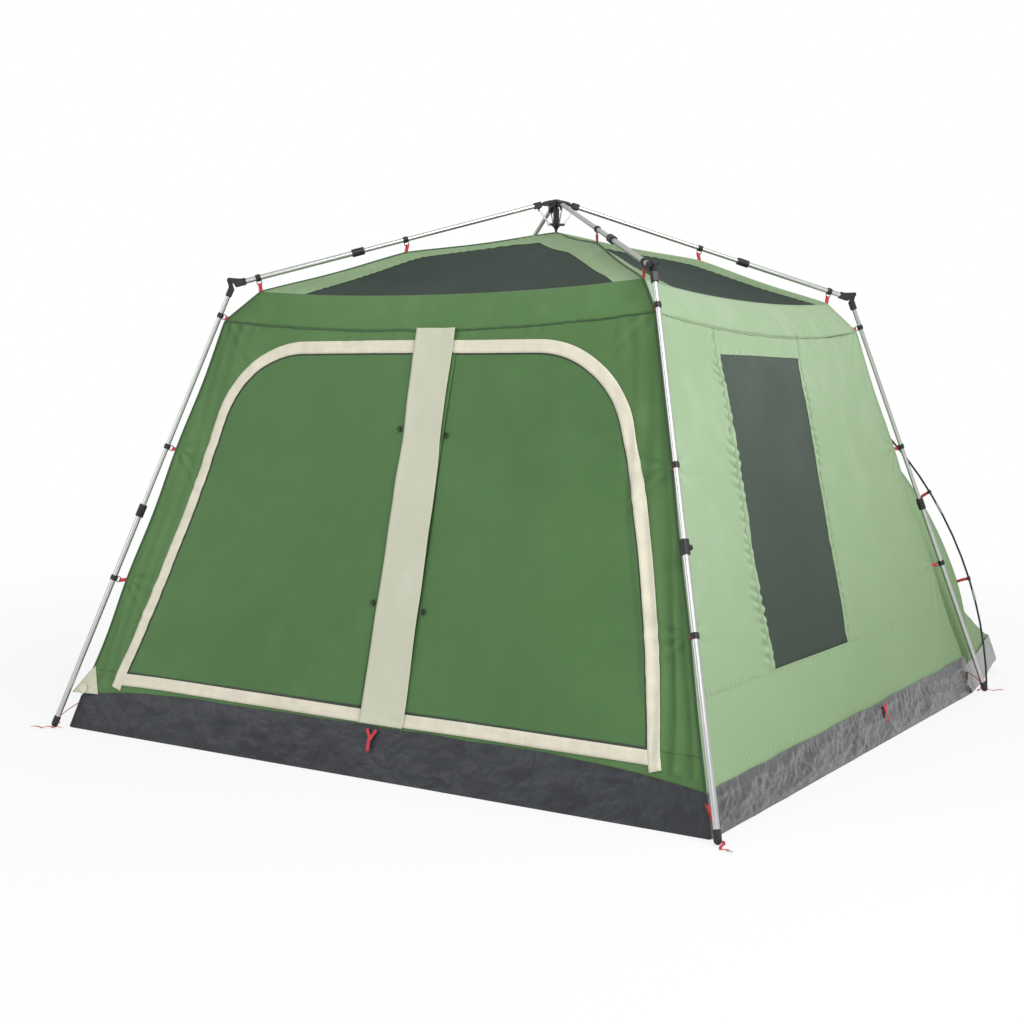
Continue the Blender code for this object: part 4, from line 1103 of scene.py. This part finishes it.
def makeTub():
    # The bands round the tent and round the bay, and a floor x = s (half width - 0.002) with low crumples
    g, half, rear = groundHalf, bay["half"], bay["rear"]
    front = addCloth("tub_band", [tubBand((-g, -g), (g, -g), "front", 400, 420)], shadedTubCloth, 0.0, 0.0005)
    sides = [tubBand((g, -g), (g, g), "side", 420, 420, 44, corners=(1, 0)),
             tubBand((-g, g), (-g, -g), "side", 440, 420, 44, flip=True, corners=(0, 1))]
    pale = [tubBand((g, g), (half, rear), "bay", 460, 100, corners=(0, 1)),
            tubBand((half, rear), (-half, rear), "bay", 480, 300),
            tubBand((-half, rear), (-g, g), "bay", 500, 100, flip=True, corners=(1, 0))]
    y = np.concatenate([np.linspace(-g, g, 120), np.linspace(g, rear, 34)[1:]])[:, None]
    s = np.linspace(-1, 1, 130)[None, :]
    wide = np.interp(y, (-g, g, rear), (g, g, half))
    x = s * (wide - 0.002)
    z = 0.0022 + groundLift(x, y) + 0.0016 * crease(x * 3, y * 3, 520) * step(
        1 - np.abs(s), 0, 0.05) * step(g - np.abs(y * 0.99), 0, 0.1)
    floor = (np.stack([x, y + 0 * x, z], -1), np.stack([x, y + 0 * x], -1), None)
    return (front, addCloth("tub_side_bands", sides, litTubSideCloth, 0.0, 0.0005),
            addCloth("bay_tub_band", pale, greyCloth, 0.0, 0.0005),
            addCloth("ground_sheet", [floor], shadedTubCloth))


def makeTubCorners():
    # A welded rib up each corner, from the ground to the band's top
    dark, pale = [], []
    g, half, rear = groundHalf, bay["half"], bay["rear"]
    for x, y, parts, finish in ((-g, -g, dark, shadedTubCloth), (g, -g, dark, shadedTubCloth),
                                (half, rear, pale, greyCloth), (-half, rear, pale, greyCloth)):
        ground = float(groundLift(x, y)) + 0.004
        top = 0.124
        ends = [(x - math.copysign(lean * (z - ground), x), y - math.copysign(lean * (z - ground), y), z)
                for z in np.linspace(ground, top, 12)]
        parts.append(sweep("tub_corner", ends, roundProfile(0.0048, 8), finish, (1, -1, 0.2)))
    return joinPieces("tub_corners", dark), joinPieces("bay_tub_corners", pale)


for piece in makeTubCorners():
    onBody(piece, "tent_body")
tubPieces = makeTub()
for piece in tubPieces:
    onBody(piece, "tent_body")
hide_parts("floor_tub")
print("tub made")


clip = {"thin": 0.00875, "thick": 0.0105, "gap": 0.0004, "wall": 0.0028, "width": 0.020,
        "ringReach": 0.011, "ringWire": 0.0017, "strapWidth": 0.015, "strapThick": 0.0018}
clipPlaces = (                                                   # tube, body, bore, place, what it holds up
    ("roof", "roof_slide", "thick", 1.203, (body["upperHalf"], body["upperHeight"])),
    ("roof", "roof_pole", "thin", 0.620, (body["kneeHalf"], body["kneeHeight"])),
    ("leg", "leg", "thin", 1.607, None),
    ("leg", "leg", "thin", 1.096, None),
    ("leg", "leg_slide", "thick", 0.585, None),
)


def tubeLine(kind, corner):
    # A telescope's line: its joint's axis through the middle of its thicker tube's box
    low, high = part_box(f"{kind}_tube_{'outer' if kind == 'roof' else 'lower'}_{corner}")
    axis = np.array(jointNamed[f"{kind}_telescope_{corner}"]["axis"], float)
    return np.array((low + high) / 2), axis / np.linalg.norm(axis)


def tubePlace(kind, corner, place):
    # Leg: the point at that height. Roof: the point that far from the tent's middle.
    middle, axis = tubeLine(kind, corner)
    if kind == "leg":
        return middle + axis * (place - middle[2]) / axis[2], axis
    radial = np.hypot(middle[0], middle[1])
    return middle + axis * (place - radial) / (middle[:2] @ axis[:2] / radial), axis


def lathe(name, centre, axis, profile, finish, sides=28):
    # A closed profile of (radius, along) turned round the axis: radius (cos first + sin second) + along axis
    axis = np.asarray(axis, float)
    first = np.cross(axis, (0.3, 0.5, 0.8))
    first /= np.linalg.norm(first)
    second = np.cross(axis, first)
    turn = np.arange(sides)[:, None, None] * tau / sides
    radius, along = np.asarray(profile, float).T[:, None, :, None]
    rings = centre + radius * (np.cos(turn) * first + np.sin(turn) * second) + along * axis
    size = len(profile)
    index = np.arange(sides * size).reshape(sides, size)
    after, beside = np.roll(index, -1, 0), np.roll(index, -1, 1)
    quads = np.stack([index, after, np.roll(after, -1, 1), beside], -1).reshape(-1, 4)
    flats = np.zeros((sides * size, 2))
    return finishMesh(name, rings.reshape(-1, 3), quads.tolist(), flats, finish, sharp=40)


def bandProfile(inner, wall, width, ease=0.0008):
    # A band's section for lathe: inner to inner + wall, half the width each way, outer corners cut by ease
    outer, half = inner + wall, width / 2
    return [(inner, -half), (outer - ease, -half), (outer, -half + ease), (outer, half - ease),
            (outer - ease, half), (inner, half)]


def makeClip(name, kind, corner, bore, place, hold):
    # A band round the tube with a rib, a wire ring on the side of the cloth, and a strap that runs from the
    # cloth round the ring's bar and back
    signs = cornerSigns[corner]
    centre, axis = tubePlace(kind, corner, place)
    half, height = hold if hold else (cornerHalf(place) - 0.001, place - 0.006)
    target = np.array([signs[0] * half, signs[1] * half, height])
    toward = target - centre
    toward -= axis * (toward @ axis)
    reach = np.linalg.norm(toward)
    toward /= reach
    inner = clip[bore] + clip["gap"]
    outer = inner + clip["wall"]
    parts = [lathe(name, centre, axis, bandProfile(inner, clip["wall"], clip["width"]), blackPlastic)]
    jaw = bandProfile(inner + clip["wall"] - 0.0006, 0.0016, 0.007)
    parts.append(lathe(name + "_rib", centre, axis, jaw, blackPlastic))
    wing, far = clip["width"] / 2 * 0.92, outer + clip["ringReach"]
    shoulder = outer + clip["ringReach"] * 0.7
    ring = [(outer - 0.001, -wing), (shoulder, -wing), (far, -wing * 0.6),
            (far, wing * 0.6), (shoulder, wing), (outer - 0.001, wing)]
    path = curveThrough([centre + toward * a + axis * b for a, b in ring], 26)
    flat = np.cross(toward, axis)
    parts.append(sweep(name + "_ring", path, roundProfile(clip["ringWire"], 8), blackPlastic, flat))
    bar = centre + toward * far
    r = clip["ringWire"] + clip["strapThick"] / 2 + 0.0002
    end = target + toward * 0.002
    loop = [end + flat * 0.0012, bar + flat * r + toward * 0.004, bar + flat * r * 0.9, bar - toward * r,
            bar - flat * r * 0.9, bar - flat * r + toward * 0.004, end - flat * 0.0012]
    section = strapProfile(clip["strapWidth"], clip["strapThick"])
    strap = sweep(name + "_strap", curveThrough(loop, 30), section, redWebbing, across=axis)
    return parts, strap


for corner in cornerSigns:
    held = {}
    for kind, owner, bore, place, hold in clipPlaces:
        name = f"clip_{owner}_{corner}_{int(place * 1000)}"
        parts, strap = makeClip(name, kind, corner, bore, place, hold)
        held.setdefault(owner, ([], []))
        held[owner][0].extend(parts)
        held[owner][1].append(strap)
    for owner, (parts, straps) in held.items():
        onBody(joinPieces(f"clips_{owner}_{corner}", parts), f"{owner}_{corner}")
        onBody(joinPieces(f"clip_straps_{owner}_{corner}", straps), f"{owner}_{corner}")


def makeFootStraps(corner):
    # From the tub's corner down to the foot, and a short tail that lies on the ground with a ring at its end
    signs = np.array(cornerSigns[corner], float)
    low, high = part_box(f"foot_{corner}")
    foot = np.array((low + high) / 2)
    diagonal = np.array([*signs, 0.0]) / math.sqrt(2)
    across = np.array([-diagonal[1], diagonal[0], 0.0])
    corners = np.array([signs[0] * (groundHalf - lean * 0.10), signs[1] * (groundHalf - lean * 0.10), 0.10])
    ankle = np.array([foot[0], foot[1], 0.040])
    first = curveThrough([corners + diagonal * 0.001, corners * 0.45 + ankle * 0.55 + diagonal * 0.001,
                          ankle - diagonal * 0.011, ankle - diagonal * 0.013 - np.array([0, 0, 0.024])], 22)
    pieces = [sweep("foot_strap", first, strapProfile(0.014, 0.0018), redWebbing, across=across)]
    ground = np.array([foot[0], foot[1], 0.0032])
    bend = 0.018 * signs[0] * signs[1]
    route = ((-0.020, 0.016), (-0.002, 0.021), (0.022, 0.010), (0.050, bend * 0.4), (0.082, bend * -0.3))
    tail = curveThrough([ground + diagonal * out + across * aside for out, aside in route], 40)
    tail[:, 2] += 0.006 * np.abs(np.sin(np.linspace(0, 2.6 * math.pi, 40)))
    pieces.append(sweep("foot_tail", tail, strapProfile(0.010, 0.0016), redWebbing))
    ringAt = tail[-1] + diagonal * 0.007
    turn = np.arange(12) * tau / 12
    profile = np.stack([0.0085 + 0.0011 * np.cos(turn), 0.0011 * np.sin(turn)], -1)
    pin = lathe("foot_ring", ringAt, (0.1 * signs[0], 0.15, 0.98), profile, steel, 24)
    return joinPieces(f"foot_straps_{corner}", pieces), pin


for corner in cornerSigns:
    straps, pin = makeFootStraps(corner)
    onBody(straps, "tent_body")
    pin.name = f"foot_ring_{corner}"
    onBody(pin, "tent_body")


def makePegLoop(side, x):
    # Two strands sewn to the band's top join in one loop above the ground
    top = float(bandTop(side, np.array(x))) - 0.012
    parts = []
    for sign in (-1, 1):
        t = np.linspace(0, 1, 14)
        path = (x + sign * 0.020 * (1 - t) ** 1.2, top - 0.034 * t)
        parts.append(ribbon("strand", side, path, 0.011, 0.012, redWebbing, 0.0018, 4))
    z = np.linspace(top - 0.028, top - 0.072, 14)
    parts.append(ribbon("loop", side, (x + 0.004 * np.sin(40 * z), z), 0.012, 0.0135, redWebbing, 0.0018, 4))
    return joinPieces(f"peg_loop_{side}", parts)


for side, x in (("front", 0.08), ("right", 0.25), ("left", -0.25)):
    onBody(makePegLoop(side, x), "tent_body")


def makeToggles():
    # A short bar in an elastic ring at each place
    parts = []
    places = ((-0.010, 1.186, -1), (0.188, 1.166, 1), (-0.004, 0.582, -1), (0.207, 0.568, 1))
    for number, (x, z, flip) in enumerate(places):
        centre = wallPoint("front", x, z, 0.006)
        bar = [centre + np.array([0, 0, 1.0]) * 0.010 * t + np.array([flip * 0.003 * t * t, 0, 0])
               for t in np.linspace(-1, 1, 9)]
        parts.append(sweep(f"toggle_{number}", bar, roundProfile(0.0038, 10), blackPlastic, (0, 1, 0)))
        turn = np.arange(10) * tau / 10
        ring = np.stack([0.008 + 0.0013 * np.cos(turn), 0.0013 * np.sin(turn)], -1)
        beside = centre + np.array([flip * 0.006, 0, 0.001])
        parts.append(lathe(f"toggle_ring_{number}", beside, outward, ring, blackPlastic, 20))
    return joinPieces("door_toggles", parts)


onBody(makeToggles(), "tent_body", True)


def makeCornerPatch():
    # A sewn gusset between the front left corner and its foot, with a round cable port
    top = np.array([-cornerHalf(0.245), -cornerHalf(0.245), 0.245])
    outer = np.array([-1.362, -1.362, 0.140])
    inner = np.array([-1.250, -halfAt(0.138) - 0.004, 0.138])
    u, v = np.meshgrid(np.linspace(0, 1, 16), np.linspace(0, 1, 16))
    base = outer * (1 - u)[..., None] + inner * u[..., None]
    points = base * (1 - v ** 1.4)[..., None] + top * (v ** 1.4)[..., None]
    points = points + outward * (0.003 * np.sin(math.pi * u) * (1 - v))[..., None]
    patch = addCloth("corner_patch", [(points, gridUV(points), None)], creamFlap, 0.0012)
    centre = outer * 0.55 + inner * 0.30 + top * 0.15 + outward * 0.003
    steps = [(0.0002, 0.002), (0.008, 0.002), (0.009, 0.0035), (0.0115, 0.0035), (0.0125, 0.002),
             (0.0165, 0.002), (0.0175, 0.0035), (0.0200, 0.0035), (0.0210, 0.0), (0.0002, 0.0)]
    port = lathe("cable_port", centre, outward, steps, creamTape, 32)
    return patch, port


for piece in makeCornerPatch():
    onBody(piece, "tent_body", True)


def makeArchFittings():
    # Metal ferrules on the pole, and webbing straps from it to the bay's cloth
    ferrules, bands, straps = [], [], []
    for turn in np.radians([16.0, 31.3, 148.7, 164.0]):
        line = archLine(np.linspace(turn - 0.016, turn + 0.016, 8))
        ferrules.append(sweep("ferrule", line, roundProfile(0.0056, 14), steel, (0, 1, 0)))
    for number, turn in enumerate(np.radians([18.8, 34.4, 62.0, 118.0, 145.6, 161.2])):
        line = archLine(np.array([turn - 0.01, turn, turn + 0.01]))
        axis = (line[2] - line[0]) / np.linalg.norm(line[2] - line[0])
        centre, target = line[1], archLine(np.array([turn]), bay["inset"])[0]
        toward = (target - centre) / np.linalg.norm(target - centre)
        band = bandProfile(0.0048, 0.0026, 0.016)
        bands.append(lathe(f"arch_clip_{number}", centre, axis, band, blackPlastic))
        start = centre + toward * 0.006
        path = curveThrough([start, (start + target) / 2 + axis * 0.001, target], 10)
        straps.append(sweep(f"arch_strap_{number}", path, strapProfile(0.013, 0.0022), redWebbing,
                            across=axis))
    return (joinPieces("arch_ferrules", ferrules), joinPieces("arch_clips", bands),
            joinPieces("arch_straps", straps))


for piece, slotName in zip(makeArchFittings(), ("steel_pin", "black_plastic", "red_webbing")):
    onBody(piece, "arch_pole")
print("clips and straps made")


def declareCloth(name, curved=False):
    # Reads the cloth coordinates, which are in metres, of each face corner, with each face's first corner and
    # corner count; for a curved piece the faces' areas too. Nothing is made of them.
    piece = bpy.data.objects[name]
    mesh = piece.data
    flat = np.zeros(len(mesh.loops) * 2)
    mesh.uv_layers["cloth"].data.foreach_get("uv", flat)
    flat = flat.reshape(-1, 2)
    starts, totals = np.zeros(len(mesh.polygons), np.int32), np.zeros(len(mesh.polygons), np.int32)
    mesh.polygons.foreach_get("loop_start", starts)
    mesh.polygons.foreach_get("loop_total", totals)
    if curved:
        sizes = np.zeros(len(mesh.polygons))
        mesh.polygons.foreach_get("area", sizes)


declareCloth("front_wall")
declareCloth("door_cloth_left")
declareCloth("door_cloth_right")
declareCloth("centre_flap")
declareCloth("corner_patch")
for side in ("right", "left"):
    declareCloth(f"{side}_wall")
    declareCloth(f"{side}_window_net")
declareCloth("rear_wall")
declareCloth("rear_bay_cloth", curved=True)
declareCloth("roof_cloth")
declareCloth("roof_nets")
declareCloth("front_eave")
declareCloth("side_eaves")
declareCloth("ground_sheet")
declareCloth("tub_band")
declareCloth("tub_side_bands")
declareCloth("bay_tub_band")


for name, node in nodes.items():
    if name.startswith(("roof_tube", "leg_tube")):
        surface = tubeMetal
    elif name.startswith("strut"):
        surface = strutMetal
    elif name == "rear_arch_pole":
        surface = blackRod
    else:
        surface = blackPlastic
    node.data.materials.clear()
    node.data.materials.append(surface)


camera = {"place": (3.2715, -5.5068, 1.3299), "turn": 32.239, "down": 4.523, "roll": 0.471, "lens": 54.57}


def makeStage():
    # A pale floor that the camera sees turn white: share white = 0.8 near the tent and 1 from 6.5 m out
    ground = bpy.data.meshes.new("studio_floor")
    ground.from_pydata([(-40, -40, 0), (40, -40, 0), (40, 40, 0), (-40, 40, 0)], [], [(0, 1, 2, 3)])
    floor = bpy.data.objects.new("studio_floor", ground)
    bpy.context.scene.collection.objects.link(floor)
    pale = Finish("studio_floor", (0.90, 0.90, 0.90), 0.9, fixed={"Specular IOR Level": 0.0})
    white = pale.node("Emission", None, {"Color": (1.0, 1.0, 1.0, 1.0), "Strength": 1.0})
    away = pale.node("VectorMath", {"operation": "LENGTH"}, {0: pale.place()}, output=1)
    far = pale.between(away, 2.2, 6.5)
    share = pale.node("LightPath", output=0) * (far * 0.2 + 0.8)
    mixed = pale.node("MixShader", None, {0: share, 1: Wire(pale, pale.shader.outputs[0]), 2: white})
    pale.plug(pale.tree.nodes["Material Output"], {"Surface": mixed})
    ground.materials.append(pale.material)


def makeLight():
    # A white sky of strength 0.62, which the camera sees as 1, and two soft lamps that face the tent
    world = bpy.data.worlds.new("studio")
    bpy.context.scene.world = world
    world.use_nodes = True
    tree = world.node_tree
    shade = tree.nodes["Background"]
    shade.inputs["Color"].default_value = (1.0, 1.0, 1.0, 1.0)
    path = tree.nodes.new("ShaderNodeLightPath")
    level = tree.nodes.new("ShaderNodeMapRange")
    level.inputs["To Min"].default_value = 0.62
    level.inputs["To Max"].default_value = 1.0
    tree.links.new(path.outputs["Is Camera Ray"], level.inputs["Value"])
    tree.links.new(level.outputs[0], shade.inputs["Strength"])
    for name, place, aim, size, power in (("key", (5.5, -3.2, 6.0), (0.3, 0, 0.8), 4.0, 330.0),
                                          ("fill", (-4.0, -6.0, 3.5), (0, 0, 0.9), 4.0, 70.0)):
        lamp = bpy.data.lights.new(name, "AREA")
        lamp.size, lamp.energy = size, power
        made = bpy.data.objects.new(name, lamp)
        made.location = place
        made.rotation_euler = (Vector(aim) - Vector(place)).to_track_quat("-Z", "Y").to_euler()
        bpy.context.scene.collection.objects.link(made)


def makeCamera():
    # Looks along (-sin turn cos down, cos turn cos down, -sin down); the other two axes are rolled about it
    turn, down, roll = (math.radians(camera[k]) for k in ("turn", "down", "roll"))
    look = Vector((-math.sin(turn) * math.cos(down), math.cos(turn) * math.cos(down), -math.sin(down)))
    level = look.cross((0, 0, 1)).normalized()
    right = level * math.cos(roll) + level.cross(look) * math.sin(roll)
    lens = bpy.data.cameras.new("camera")
    lens.lens, lens.sensor_width, lens.clip_end = camera["lens"], 36.0, 200.0
    made = bpy.data.objects.new("camera", lens)
    axes = Matrix((right, right.cross(look), -look)).transposed().to_4x4()
    made.matrix_world = Matrix.Translation(camera["place"]) @ axes
    bpy.context.scene.collection.objects.link(made)
    bpy.context.scene.camera = made


makeStage()
makeLight()
makeCamera()
bpy.context.scene.view_settings.view_transform = "Standard"
